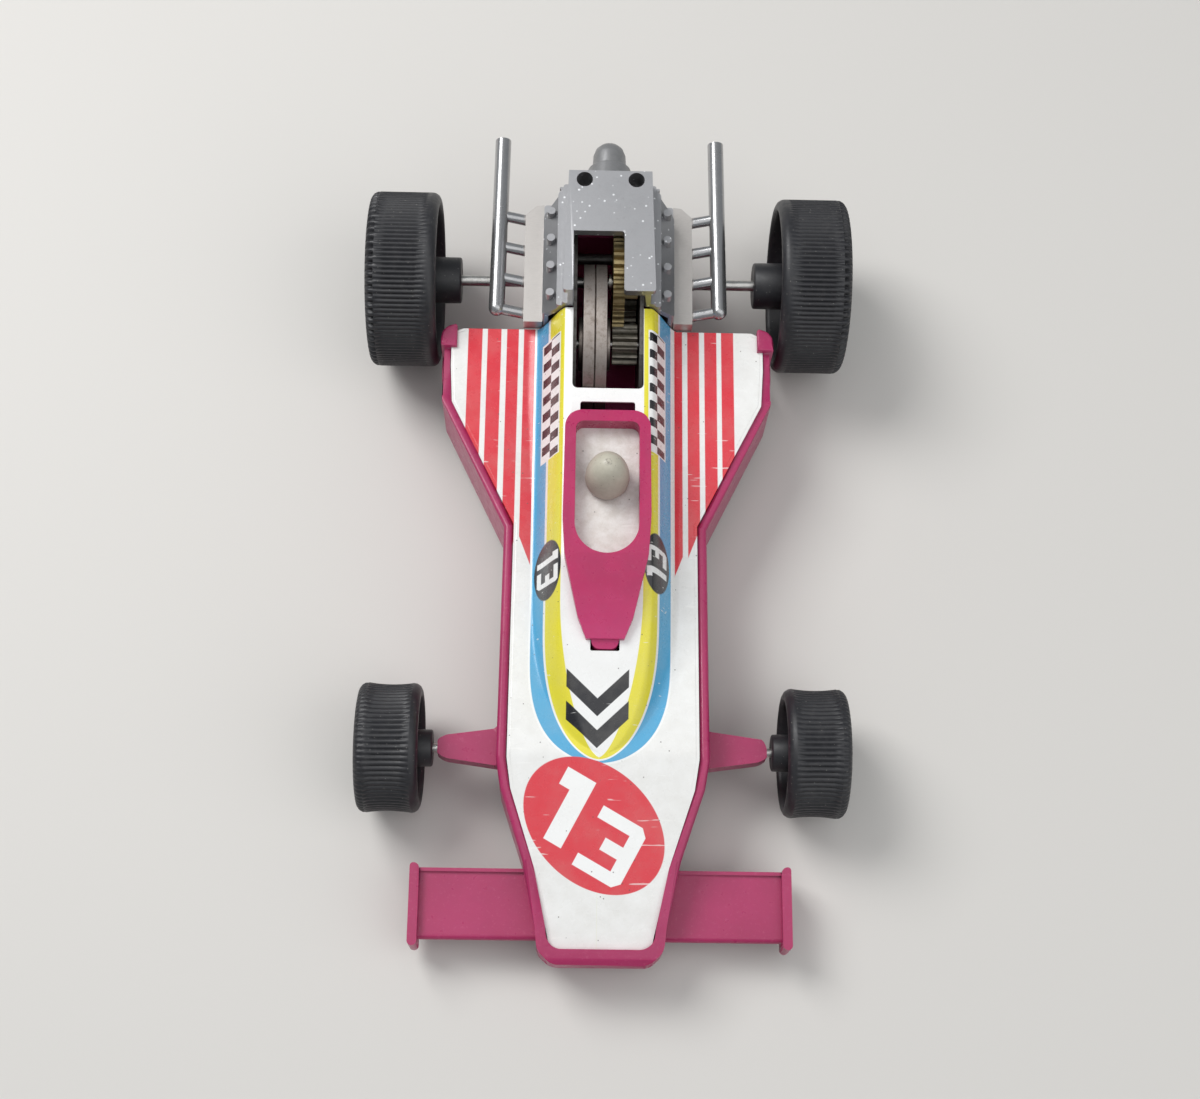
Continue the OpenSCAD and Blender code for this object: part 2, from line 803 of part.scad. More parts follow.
module motor_frame_left() {
    color([0.45, 0.45, 0.46])
        difference() {
            frame_plate();
            rod(idler_at, post_d, frame_half - 1, frame_half + 2);
        }
}

module motor_frame_right() {
    color([0.45, 0.45, 0.46])
        mirror([1, 0, 0])
            frame_plate();
}

module frame_pillars() {
    color([0.55, 0.55, 0.56])
        for (p = pillar_at) {
            rod(p, pillar_d, -frame_half, frame_half);
            rod(p, pillar_d * pillar_neck, -frame_half - frame_t, frame_half + frame_t);
        }
}

module frame_screws() {
    color([0.6, 0.6, 0.58])
        on_both_sides()
            for (f = screw_fwd)
                translate([screw_x, rear_y - f, 0]) {
                    translate([0, 0, belly_z - screw_head_t])
                        cylinder(h = screw_head_t, d = screw_head_d);
                    translate([0, 0, belly_z - 0.1])
                        cylinder(h = floor_t + frame_t + 1.1, d = screw_d);
                }
}

module axle_bushes() {
    color([0.62, 0.5, 0.26])
        on_both_sides()
            difference() {
                union() {
                    rod(axle_at, bush_d, frame_half, frame_half + frame_t + 0.4);
                    rod(axle_at, bush_flange_d, frame_half + frame_t,
                        frame_half + frame_t + bush_flange_t);
                }
                rod(axle_at, rear_axle_d + 2 * running, 0, far);
            }
}

// ---- Gears ----

function roll_angle(rb, r) = r <= rb ? 0 :
    sqrt(r * r / (rb * rb) - 1) * 180 / PI - acos(rb / r);

// Half width of a tooth at radius r, as an angle
function tooth_half(teeth, r) = let (
        rp = gear_m * teeth / 2,
        rb = rp * cos(20))
    90 / teeth * tooth_fill + roll_angle(rb, rp) - roll_angle(rb, r);

// Outline of a spur gear with one tooth centred on the first axis
function gear_outline(teeth, addendum) = let (
        rp = gear_m * teeth / 2,
        root = rp - dedendum * gear_m,
        tip = rp + addendum * gear_m,
        base = max(root + 0.02, rp * cos(20)),
        flank = [for (k = [0:3]) base + (tip - base) * k / 3])
    [for (i = [0:teeth - 1]) let (mid = 360 / teeth * i)
        for (p = concat([[root, -tooth_half(teeth, base) - 1]],
            [for (r = flank) [r, -tooth_half(teeth, r)]],
            [for (k = [3:-1:0]) [flank[k], tooth_half(teeth, flank[k])]],
            [[root, tooth_half(teeth, base) + 1]]))
            [p[0] * cos(mid + p[1]), p[0] * sin(mid + p[1])]];

// Gear along X, turned so that a tooth points along the angle turn
module gear(at, teeth, addendum, turn, x0, x1, bore) {
    difference() {
        translate([x0, at[0], at[1]])
            rotate([90, 0, 90])
                rotate([0, 0, turn])
                    linear_extrude(x1 - x0)
                        polygon(gear_outline(teeth, addendum));
        rod(at, bore, x0 - 1, x1 + 1);
    }
}

module drive_gear() {
    color([0.5, 0.5, 0.48])
        gear(axle_at, drive_teeth, gear_addendum, angle_to(axle_at, idler_at),
            gear_x0, gear_x1, rear_axle_d);
}

module idler_pinion() {
    color([0.72, 0.58, 0.3])
        gear(idler_at, idler_pinion_teeth, pinion_addendum,
            angle_to(idler_at, axle_at) + 180 / idler_pinion_teeth,
            idler_x1, gear_x1, post_d + 2 * running);
}

module idler_gear() {
    color([0.72, 0.58, 0.3])
        gear(idler_at, idler_teeth, gear_addendum, angle_to(idler_at, fly_at),
            idler_x0, idler_x1, post_d + 2 * running);
}

module flywheel_pinion() {
    color([0.66, 0.6, 0.42])
        gear(fly_at, fly_pinion_teeth, pinion_addendum,
            angle_to(fly_at, idler_at) + 180 / fly_pinion_teeth,
            pinion_x0, gear_x1, fly_shaft_d);
}

// ---- Turning parts ----

module idler_post() {
    color([0.6, 0.6, 0.6]) {
        rod(idler_at, post_d, idler_x0 - post_gap, frame_half + frame_t);
        rod(idler_at, post_head_d, idler_x0 - post_gap - post_head_t, idler_x0 - post_gap);
    }
}

module flywheel_shaft() {
    color([0.6, 0.6, 0.6])
        rod(fly_at, fly_shaft_d, -frame_half - frame_t - shaft_over,
            frame_half + frame_t + shaft_over);
}

module fly_disc(x0, x1, groove_at) {
    color([0.32, 0.28, 0.26])
        difference() {
            rod(fly_at, fly_d, x0, x1);
            rod(fly_at, fly_shaft_d, x0 - 1, x1 + 1);
            difference() {
                rod(fly_at, fly_d + 2, groove_at - groove_w / 2, groove_at + groove_w / 2);
                rod(fly_at, fly_d - 2 * fly_groove, groove_at - 1, groove_at + 1);
            }
        }
}

module flywheel_disc_left() {
    fly_disc(fly_x0 + fly_w / 2, fly_x1, fly_x0 + fly_w / 2);
}

module flywheel_disc_right() {
    fly_disc(fly_x0, fly_x0 + fly_w / 2, fly_x0 + fly_w / 2);
}

module flywheel_washers() {
    color([0.42, 0.4, 0.38])
        for (x = [fly_x0 - washer_t, fly_x1])
            difference() {
                rod(fly_at, washer_d, x, x + washer_t);
                rod(fly_at, fly_shaft_d, x - 1, x + washer_t + 1);
            }
}

module rear_axle() {
    color([0.66, 0.66, 0.66])
        rod(axle_at, rear_axle_d, -axle_half(rear_wheel_in, rear_wheel_w),
            axle_half(rear_wheel_in, rear_wheel_w));
}

module front_axle() {
    color([0.66, 0.66, 0.66])
        rod([front_y, front_r], front_axle_d, -axle_half(front_wheel_in, front_wheel_w),
            axle_half(front_wheel_in, front_wheel_w));
}

// ---- Wheels ----

// A hollow wheel, open towards the body, with its hub on the axle
module wheel(side, y, wheel_d, wheel_w, wheel_in, hub_d, hub_out, axle_d) {
    r = wheel_d / 2;
    inner = r - tread_wall;
    color([0.09, 0.09, 0.1])
        mirror([side < 0 ? 1 : 0, 0, 0])
            translate([wheel_in, y, r])
                rotate([0, 90, 0])
                    rotate_extrude($fn = 96)
                        polygon([
                            [0, wheel_w - hub_cap], [0, wheel_w - 0.5],
                            [hub_d / 2 + 0.5, wheel_w - 0.5], [hub_d / 2 + 1.5, wheel_w - 1.4],
                            [inner - 1.4, wheel_w - 1.4], [inner, wheel_w],
                            [r - 0.8, wheel_w], [r, wheel_w - 0.8],
                            [r, 1.5], [r - 0.5, 0.5], [r - 1.4, 0], [inner, 0.3],
                            [inner, wheel_w - 1.4 - web_wall],
                            [hub_d / 2, wheel_w - 1.4 - web_wall], [hub_d / 2, -hub_out],
                            [axle_d / 2, -hub_out], [axle_d / 2, wheel_w - hub_cap]]);
}

module rear_wheel(side) {
    wheel(side, rear_y, rear_wheel_d, rear_wheel_w, rear_wheel_in, rear_hub_d, rear_hub_out,
        rear_axle_d);
}

module front_wheel(side) {
    wheel(side, front_y, front_wheel_d, front_wheel_w, front_wheel_in, front_hub_d,
        front_hub_out, front_axle_d);
}

module rear_wheel_left() {
    rear_wheel(1);
}

module rear_wheel_right() {
    rear_wheel(-1);
}

module front_wheel_left() {
    front_wheel(1);
}

module front_wheel_right() {
    front_wheel(-1);
}

chassis();
tin_body();
cockpit_surround();
driver_head();
engine_block();
exhaust_left();
exhaust_right();
gearbox_cover();
motor_frame_left();
motor_frame_right();
frame_pillars();
frame_screws();
axle_bushes();
rear_axle();
drive_gear();
rear_wheel_left();
rear_wheel_right();
idler_post();
idler_gear();
idler_pinion();
flywheel_shaft();
flywheel_disc_left();
flywheel_disc_right();
flywheel_washers();
flywheel_pinion();
front_axle();
front_wheel_left();
front_wheel_right();
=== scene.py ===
import json
import math

import bmesh
import bpy
from mathutils import Matrix, Vector

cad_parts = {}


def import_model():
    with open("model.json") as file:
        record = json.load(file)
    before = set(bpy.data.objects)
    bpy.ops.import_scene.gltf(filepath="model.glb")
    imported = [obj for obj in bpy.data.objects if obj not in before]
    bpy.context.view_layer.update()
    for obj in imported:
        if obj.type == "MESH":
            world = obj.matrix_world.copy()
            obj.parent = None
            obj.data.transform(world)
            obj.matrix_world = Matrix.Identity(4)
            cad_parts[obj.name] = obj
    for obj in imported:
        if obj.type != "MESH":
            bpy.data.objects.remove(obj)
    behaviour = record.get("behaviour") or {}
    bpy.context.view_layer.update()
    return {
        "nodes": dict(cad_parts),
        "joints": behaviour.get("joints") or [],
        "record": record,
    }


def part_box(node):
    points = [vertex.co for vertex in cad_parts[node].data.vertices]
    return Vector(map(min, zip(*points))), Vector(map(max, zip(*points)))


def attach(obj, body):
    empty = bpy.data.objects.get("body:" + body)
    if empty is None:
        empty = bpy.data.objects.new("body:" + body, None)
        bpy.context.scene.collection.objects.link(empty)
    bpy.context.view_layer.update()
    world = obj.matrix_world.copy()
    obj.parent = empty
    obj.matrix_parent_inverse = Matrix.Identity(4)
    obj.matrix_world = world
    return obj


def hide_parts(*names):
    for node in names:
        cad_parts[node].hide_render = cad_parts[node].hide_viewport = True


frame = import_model()

MM = 0.001
NODES = frame["nodes"]

# ---------------------------------------------------------------- places taken from the frame

JOINTS = {j["name"]: j for j in frame["joints"]}
REAR_Y = JOINTS["rear_axle_spin"]["pos_m"][1]
REAR_Z = JOINTS["rear_axle_spin"]["pos_m"][2]
FRONT_Y = JOINTS["front_axle_spin"]["pos_m"][1]
FRONT_Z = JOINTS["front_axle_spin"]["pos_m"][2]

# Heights of the tin's flat deck and of its ridge, and where the exhausts' valve covers end, in millimetres.
DECK_Z, RIDGE_Z = 23.5, 34.5
COVER_X = 18.2

COLOURS = {
    "magenta": (0.45, 0.032, 0.135, 1),
    "magenta_dark": (0.29, 0.014, 0.075, 1),
    "magenta_bloom": (0.60, 0.15, 0.27, 1),
    "cowl": (0.55, 0.006, 0.115, 1),
    "cowl_painted_highlight": (0.62, 0.07, 0.21, 1),
    "white": (0.86, 0.86, 0.845, 1),
    "red": (0.68, 0.016, 0.032, 1),
    "blue": (0.08, 0.37, 0.62, 1),
    "yellow": (0.77, 0.69, 0.04, 1),
    "black": (0.016, 0.016, 0.02, 1),
}


# ---------------------------------------------------------------- shader graphs

class Graph:
    """A material whose node graph is written as expressions. Lengths in it are millimetres."""

    def __init__(self, name):
        self.material = bpy.data.materials.new(name)
        self.material.use_nodes = True
        self.tree = self.material.node_tree
        self.shader = self.tree.nodes["Principled BSDF"]
        coordinates = self.tree.nodes.new("ShaderNodeTexCoord").outputs["Object"]
        scale = self.node("ShaderNodeVectorMath", operation="SCALE")
        self.tree.links.new(coordinates, scale.inputs[0])
        scale.inputs["Scale"].default_value = 1 / MM
        self.place = scale.outputs[0]
        split = self.node("ShaderNodeSeparateXYZ")
        self.tree.links.new(self.place, split.inputs[0])
        self.x, self.y, self.z = split.outputs

    def node(self, kind, **settings):
        """A new shader node with some of its settings."""
        made = self.tree.nodes.new(kind)
        for key, value in settings.items():
            setattr(made, key, value)
        return made

    def feed(self, socket, value):
        """Joins an output to a socket, or sets the socket to a plain value."""
        if isinstance(value, bpy.types.NodeSocket):
            self.tree.links.new(value, socket)
        else:
            socket.default_value = value

    def math(self, operation, a, b=0.0, c=0.0):
        made = self.node("ShaderNodeMath", operation=operation)
        for socket, value in zip(made.inputs, (a, b, c)):
            self.feed(socket, value)
        return made.outputs[0]

    def add(self, a, b):
        return self.math("ADD", a, b)

    def sub(self, a, b):
        return self.math("SUBTRACT", a, b)

    def mul(self, a, b):
        return self.math("MULTIPLY", a, b)

    def least(self, *parts):
        result = parts[0]
        for part in parts[1:]:
            result = self.math("MINIMUM", result, part)
        return result

    def most(self, *parts):
        result = parts[0]
        for part in parts[1:]:
            result = self.math("MAXIMUM", result, part)
        return result

    def length(self, a, b):
        """The length of a flat vector."""
        return self.math("SQRT", self.add(self.math("POWER", a, 2.0), self.math("POWER", b, 2.0)))

    def cover(self, inside, edge=0.08):
        """1 where the signed distance inside is positive, 0 outside, with a crisp soft edge."""
        made = self.node("ShaderNodeMapRange", interpolation_type="SMOOTHSTEP")
        self.feed(made.inputs["Value"], inside)
        made.inputs["From Min"].default_value = -edge
        made.inputs["From Max"].default_value = edge
        return made.outputs["Result"]

    def ramp(self, value, low, high, to_low=0.0, to_high=1.0):
        """A straight change from to_low to to_high while the value goes from low to high."""
        made = self.node("ShaderNodeMapRange")
        self.feed(made.inputs["Value"], value)
        made.inputs["From Min"].default_value = low
        made.inputs["From Max"].default_value = high
        made.inputs["To Min"].default_value = to_low
        made.inputs["To Max"].default_value = to_high
        return made.outputs["Result"]

    def stretched(self, stretch):
        """The place in the piece, in millimetres, with each axis multiplied by its own number."""
        made = self.node("ShaderNodeVectorMath", operation="MULTIPLY")
        self.feed(made.inputs[0], self.place)
        made.inputs[1].default_value = stretch
        return made.outputs[0]

    def noise(self, per_mm, detail=4.0, roughness=0.6, stretch=(1, 1, 1)):
        """Cloudy noise between 0 and 1, per_mm waves to the millimetre."""
        made = self.node("ShaderNodeTexNoise")
        self.feed(made.inputs["Vector"], self.stretched(stretch))
        made.inputs["Scale"].default_value = per_mm
        made.inputs["Detail"].default_value = detail
        made.inputs["Roughness"].default_value = roughness
        return made.outputs["Fac"]

    def specks(self, per_mm, size):
        """Small scattered spots: 1 inside a spot."""
        made = self.node("ShaderNodeTexVoronoi")
        self.feed(made.inputs["Vector"], self.stretched((1, 1, 1)))
        made.inputs["Scale"].default_value = per_mm
        return self.ramp(made.outputs["Distance"], size, size * 0.6)

    def mix(self, share, a, b):
        """Colour a where the share is 0 and colour b where it is 1."""
        made = self.node("ShaderNodeMix", data_type="RGBA")
        self.feed(made.inputs[0], share)
        self.feed(made.inputs[6], a)
        self.feed(made.inputs[7], b)
        return made.outputs[2]

    def bump(self, height, strength, depth_mm):
        """A fine relief of the surface."""
        made = self.node("ShaderNodeBump")
        made.inputs["Strength"].default_value = strength
        made.inputs["Distance"].default_value = depth_mm * MM
        self.feed(made.inputs["Height"], height)
        self.tree.links.new(made.outputs[0], self.shader.inputs["Normal"])

    def set(self, **values):
        """Sets sockets of the shader by name, with _ for each space."""
        for name, value in values.items():
            self.feed(self.shader.inputs[name.replace("_", " ")], value)


# ---------------------------------------------------------------- plain materials

def red_depth(g, weight):
    """Light that goes a short way into a magenta moulding."""
    g.set(Subsurface_Weight=weight, Subsurface_Radius=(0.004, 0.0006, 0.0015), Subsurface_Scale=0.6)


def magenta_plastic():
    """The chassis: cloudy magenta with a pale bloom of dust."""
    g = Graph("magenta_plastic")
    cloud = g.noise(0.06, 5)
    dust = g.ramp(g.noise(1.3, 6, 0.7), 0.56, 0.72)
    colour = g.mix(cloud, COLOURS["magenta"], COLOURS["magenta_dark"])
    colour = g.mix(g.mul(dust, 0.28), colour, COLOURS["magenta_bloom"])
    g.set(Base_Color=colour, Roughness=g.ramp(g.noise(0.5), 0.3, 0.7, 0.26, 0.42))
    red_depth(g, 0.12)
    g.bump(g.noise(0.9, 3), 0.12, 0.12)
    return g.material


def cowl_plastic():
    """The cockpit surround: a cleaner, more saturated moulding, with a painted highlight that makes it
    paler towards its front.
    """
    g = Graph("cowl_plastic")
    cloud = g.noise(0.08, 5)
    # Painted highlight: the sloping front of the surround is made paler, as where light falls on it.
    front = g.ramp(g.sub(g.y, REAR_Y / MM), -74.0, -84.0)
    colour = g.mix(cloud, COLOURS["cowl"], COLOURS["magenta_dark"])
    colour = g.mix(g.mul(front, 0.55), colour, COLOURS["cowl_painted_highlight"])
    dust = g.ramp(g.noise(1.4, 7, 0.7), 0.56, 0.72)
    colour = g.mix(g.mul(dust, 0.18), colour, COLOURS["magenta_bloom"])
    g.set(Base_Color=colour, Roughness=g.ramp(g.noise(0.6), 0.3, 0.7, 0.24, 0.4))
    red_depth(g, 0.15)
    g.bump(g.noise(0.7, 3), 0.15, 0.15)
    return g.material


def beige_plastic():
    """The driver's head: pale, with painted shade that darkens it low down, and a small moulding mark at
    its top.
    """
    g = Graph("beige_plastic")
    grain = g.noise(1.2, 6)
    low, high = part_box("driver_head")
    centre = (low + high) / 2 / MM
    reach = g.length(g.sub(g.x, centre.x), g.sub(g.y, centre.y))
    colour = g.mix(grain, (0.56, 0.53, 0.44, 1), (0.43, 0.40, 0.32, 1))
    # Painted shade: the head is darkened towards its base, as if less light reached it there.
    painted_shade_low = g.ramp(g.z, high.z / MM - 3.5, RIDGE_Z)
    colour = g.mix(g.mul(painted_shade_low, 0.45), colour, (0.34, 0.27, 0.23, 1))
    mark = g.mul(g.cover(g.sub(0.75, reach), 0.25), g.ramp(g.noise(2.0, 4), 0.40, 0.60))
    colour = g.mix(g.mul(mark, 0.7), colour, (0.16, 0.14, 0.12, 1))
    colour = g.mix(g.mul(g.specks(1.1, 0.14), 0.6), colour, (0.16, 0.14, 0.11, 1))
    g.set(Base_Color=colour, Roughness=g.ramp(grain, 0.3, 0.7, 0.38, 0.55))
    g.bump(grain, 0.25, 0.1)
    return g.material


def plated_plastic():
    """The engine's worn plating: cloudy silver with fine lines, white specks and grime in patches."""
    g = Graph("plated_plastic")
    haze = g.noise(0.25, 5)
    lines = g.noise(2.0, 5, 0.7, (5, 0.35, 1))
    worn = g.specks(0.62, 0.17)
    chips = g.ramp(g.noise(0.5, 8, 0.8), 0.66, 0.70)
    colour = g.mix(haze, (0.43, 0.43, 0.44, 1), (0.32, 0.32, 0.33, 1))
    colour = g.mix(g.mul(g.most(worn, chips), 0.85), colour, (0.90, 0.91, 0.92, 1))
    grime = g.ramp(g.noise(0.8, 8, 0.75), 0.58, 0.75)
    colour = g.mix(g.mul(grime, 0.35), colour, (0.18, 0.17, 0.16, 1))
    rough = g.ramp(g.add(haze, g.mul(lines, 0.5)), 0.4, 1.1, 0.32, 0.52)
    g.set(Base_Color=colour, Roughness=rough, Metallic=0.88)
    g.bump(g.add(lines, g.mul(worn, 1.2)), 0.14, 0.07)
    return g.material


def exhaust_plating():
    """Plated plastic of the exhausts: clean satin valve covers, shinier and darker pipes outside them."""
    g = Graph("plated_pipe")
    pipe = g.ramp(g.math("ABSOLUTE", g.x), COVER_X - 0.2, COVER_X + 0.2)
    haze = g.noise(0.25, 5)
    grain = g.noise(2.2, 5, 0.7, (0.5, 6, 0.3))
    cover = g.mix(g.add(g.mul(grain, 0.7), g.mul(haze, 0.3)), (0.60, 0.57, 0.54, 1), (0.36, 0.34, 0.325, 1))
    tube = g.mix(haze, (0.47, 0.47, 0.475, 1), (0.34, 0.34, 0.345, 1))
    chips = g.mul(g.ramp(g.noise(0.5, 8, 0.8), 0.66, 0.70), pipe)
    colour = g.mix(pipe, cover, tube)
    colour = g.mix(g.mul(chips, 0.25), colour, (0.90, 0.91, 0.92, 1))
    grime = g.mul(g.ramp(g.noise(0.8, 8, 0.75), 0.58, 0.75), g.ramp(pipe, 0.0, 1.0, 0.4, 1.0))
    colour = g.mix(g.mul(grime, 0.35), colour, (0.18, 0.17, 0.16, 1))
    rough = g.ramp(pipe, 0.0, 1.0, 0.42, 0.20)
    g.set(Base_Color=colour, Roughness=g.add(rough, g.mul(haze, 0.12)), Metallic=0.85)
    g.bump(grain, 0.12, 0.05)
    return g.material


def grey_plastic():
    """The gearbox cover: dull grey with a slight metallic sheen."""
    g = Graph("grey_plastic")
    grain = g.noise(0.7, 6)
    colour = g.mix(grain, (0.30, 0.30, 0.30, 1), (0.19, 0.19, 0.195, 1))
    g.set(Base_Color=colour, Roughness=g.ramp(grain, 0.3, 0.7, 0.32, 0.5), Metallic=0.45)
    g.bump(grain, 0.2, 0.08)
    return g.material


def black_plastic():
    """The wheels: black with dust and a few pale specks."""
    g = Graph("black_plastic")
    grain = g.noise(0.8, 7, 0.65)
    dust = g.ramp(g.noise(0.5, 8, 0.75), 0.5, 0.72)
    colour = g.mix(grain, (0.010, 0.010, 0.012, 1), (0.022, 0.022, 0.026, 1))
    colour = g.mix(g.mul(dust, 0.2), colour, (0.10, 0.095, 0.09, 1))
    colour = g.mix(g.mul(g.specks(0.9, 0.1), 0.5), colour, (0.30, 0.29, 0.26, 1))
    g.set(Base_Color=colour, Roughness=g.ramp(grain, 0.3, 0.7, 0.36, 0.55))
    g.bump(grain, 0.2, 0.1)
    return g.material


def bare_metal(name, light, dark, rough, grime_colour, grime_share, stretch):
    """A metal with drawn or turned lines, a cloudy tone and grime."""
    g = Graph(name)
    lines = g.noise(1.6, 6, 0.7, stretch)
    cloud = g.noise(0.35, 5)
    grime = g.ramp(g.noise(0.7, 8, 0.75), 0.5, 0.7)
    colour = g.mix(g.add(g.mul(lines, 0.6), g.mul(cloud, 0.4)), light, dark)
    colour = g.mix(g.mul(grime, grime_share), colour, grime_colour)
    worn = g.ramp(g.add(lines, cloud), 0.6, 1.4, rough, rough + 0.22)
    g.set(Base_Color=colour, Roughness=worn, Metallic=0.95)
    g.bump(lines, 0.2, 0.05)
    return g.material


# ---------------------------------------------------------------- the printed tin
# The print is drawn in x, across the car, and v, along it from the rear axle. Ahead of it v is negative.

PRINT_SHIFT = -0.8
STRIPES = ((-29.5, -26.5), (-25.4, -22.5), (-21.3, -18.8), (-17.7, -14.9),
           (14.2, 15.9), (17.0, 19.5), (20.6, 23.2), (24.2, 26.8))
STRIPE_INNER, STRIPE_END, END_LEAN = 14.9, -67.6, 1.5
POINT_LENGTH, POINT_SCALE = 2.6, 0.36

# Half width, where the curve starts, its tip, two powers that shape it, and the ink.
BANDS = ((14.5, -84, -107.7, 3.0, 0.5, "white"), (14.1, -84, -107.3, 3.0, 0.5, "blue"),
         (11.6, -80, -106.9, 2.4, 0.55, "white"), (11.2, -80, -106.6, 2.4, 0.55, "yellow"),
         (8.2, -76, -106.2, 1.8, 0.65, "white"))

ROUNDEL, ROUNDEL_TURN, ROUNDEL_HALF = (-1.6, -119.2), -38.7, (15.5, 11.2)
DIGIT_TURN = -28.6
ONE, ONE_SIZE = (-6.4, -116.4), 14.2
THREE, THREE_SIZE = (1.7, -123.4), 12.8
OVALS = {-1: (-11.7, -69.4), 1: (10.2, -68.6)}
OVAL_HALF, OVAL_NUMBER = (6.0, 2.7), 4.2
CHECK_SQUARE, CHECK_START, CHECK_END, CHECK_EDGE = 1.9, -45.5, -18.5, 0.25
CHEVRON_TIPS, CHEVRON_SHIFT, CHEVRON_SLOPE = (-104.5, -98.5), 1.3, 0.9
CHEVRON_BAR, CHEVRON_HALF = 3.4, 6.2
PIT_HALF, PIT_START, PIT_END = 8.0, -70.0, -40.0


def stripe_mask(g, x, v):
    """Red stripes on the side pods, each running out to a point at its inner edge."""
    strips = []
    for low, high in STRIPES:
        inner, outwards = (high, -1) if high < 0 else (low, 1)
        tip = STRIPE_END + (abs(inner) - STRIPE_INNER) * END_LEAN
        reach = g.mul(g.sub(x, inner), outwards)
        point = g.mul(g.sub(g.sub(v, tip), g.mul(reach, POINT_LENGTH)), POINT_SCALE)
        strips.append(g.least(g.sub(x, low), g.sub(high, x), point))
    return g.cover(g.most(*strips))


def bullet(g, x, v, half, start, tip, power, root):
    """Signed distance inside a bullet shape that closes to a point at v = tip."""
    t = g.ramp(v, start, tip)
    shape = g.math("POWER", g.sub(1.0, g.math("POWER", t, power)), root)
    return g.sub(g.mul(shape, half), g.math("ABSOLUTE", g.sub(x, PRINT_SHIFT)))


def turned(g, x, v, centre, degrees):
    """Coordinates in a frame centred on a point and turned, as right and up."""
    c, s = math.cos(math.radians(degrees)), math.sin(math.radians(degrees))
    dx, dv = g.sub(x, centre[0]), g.sub(v, centre[1])
    right = g.add(g.mul(dx, c), g.mul(dv, s))
    up = g.sub(g.mul(dv, c), g.mul(dx, s))
    return right, up


def ellipse(g, right, up, a, b):
    """About the signed distance inside an ellipse with half axes a and b."""
    length = g.length(g.mul(right, 1 / a), g.mul(up, 1 / b))
    return g.mul(g.sub(1.0, length), min(a, b))


def slab(g, right, up, r0, r1, u0, u1):
    """Signed distance inside a rectangle."""
    return g.least(g.sub(right, r0), g.sub(r1, right), g.sub(up, u0), g.sub(u1, up))


def digit_one(g, right, up, size):
    """A plain block 1 whose middle is at the origin, size high."""
    w = size * 0.28
    stem = slab(g, right, up, -w / 2, w / 2, -size / 2, size / 2)
    flag = slab(g, right, up, -w * 1.1, w / 2, size * 0.24, size / 2)
    return g.most(stem, flag)


def digit_three(g, right, up, size):
    """A plain block 3 with cut corners whose middle is at the origin, size high."""
    w, h, s = size * 0.4, size / 2, size * 0.2
    bars = g.most(slab(g, right, up, -w, w, h - s, h), slab(g, right, up, -w, w, -h, s - h),
                  slab(g, right, up, -w * 0.35, w, -s / 2, s / 2))
    spine = slab(g, right, up, w - s * 1.15, w, -h, h)
    corners = g.sub(w + h - s * 0.55, g.add(right, g.math("ABSOLUTE", up)))
    waist = g.sub(g.add(g.math("ABSOLUTE", up), s * 1.6), right)
    return g.least(g.most(bars, spine), corners, g.add(waist, size * 0.12))


def race_number(g, right, up, size):
    """Both digits of the race number side by side, as on the ovals."""
    one = digit_one(g, g.add(right, size * 0.42), up, size)
    three = digit_three(g, g.sub(right, size * 0.36), up, size)
    return g.most(one, three)


def print_roundel(g, x, v, colour, red):
    """The red oval on the nose with the race number in it."""
    right, up = turned(g, x, v, ROUNDEL, ROUNDEL_TURN)
    colour = g.mix(g.cover(ellipse(g, right, up, *ROUNDEL_HALF)), colour, red)
    right, up = turned(g, x, v, ONE, DIGIT_TURN)
    one = digit_one(g, right, up, ONE_SIZE)
    right, up = turned(g, x, v, THREE, DIGIT_TURN)
    three = digit_three(g, right, up, THREE_SIZE)
    return g.mix(g.cover(g.most(one, three)), colour, COLOURS["white"])


def print_shoulder(g, x, v, colour, side):
    """One shoulder of the ridge: a black oval with the number, and a checkered strip behind it."""
    centre = OVALS[side]
    right, up = turned(g, x, v, centre, 90 * side)
    colour = g.mix(g.cover(ellipse(g, right, up, *OVAL_HALF)), colour, COLOURS["black"])
    colour = g.mix(g.cover(race_number(g, right, up, OVAL_NUMBER)), colour, COLOURS["white"])
    strip = slab(g, x, v, centre[0] - CHECK_SQUARE, centre[0] + CHECK_SQUARE, CHECK_START, CHECK_END)
    wave = math.pi / CHECK_SQUARE
    across = g.math("SINE", g.mul(g.sub(x, centre[0]), wave))
    square = g.math("SIGN", g.mul(across, g.math("SINE", g.mul(v, wave))))
    check = g.least(g.sub(strip, CHECK_EDGE), square)
    colour = g.mix(g.cover(strip), colour, COLOURS["white"])
    return g.mix(g.cover(check), colour, COLOURS["black"])


def print_chevrons(g, x, v, colour):
    """Two black chevrons ahead of the cockpit."""
    reach = g.math("ABSOLUTE", g.add(x, CHEVRON_SHIFT))
    bars = []
    for tip in CHEVRON_TIPS:
        arm = g.sub(v, g.math("MULTIPLY_ADD", reach, CHEVRON_SLOPE, tip))
        bars.append(g.least(arm, g.sub(CHEVRON_BAR, arm), g.sub(CHEVRON_HALF, reach)))
    return g.mix(g.cover(g.most(*bars)), colour, COLOURS["black"])


def greyed_pit(g, x, v, colour):
    """Greyer, patchy tin inside the cockpit."""
    pit = slab(g, g.math("ABSOLUTE", x), v, -1, PIT_HALF, PIT_START, PIT_END)
    share = g.mul(g.cover(pit, 1.2), g.ramp(g.noise(0.5, 7, 0.7), 0.30, 0.62, 0.35, 0.95))
    return g.mix(share, colour, (0.60, 0.565, 0.52, 1))


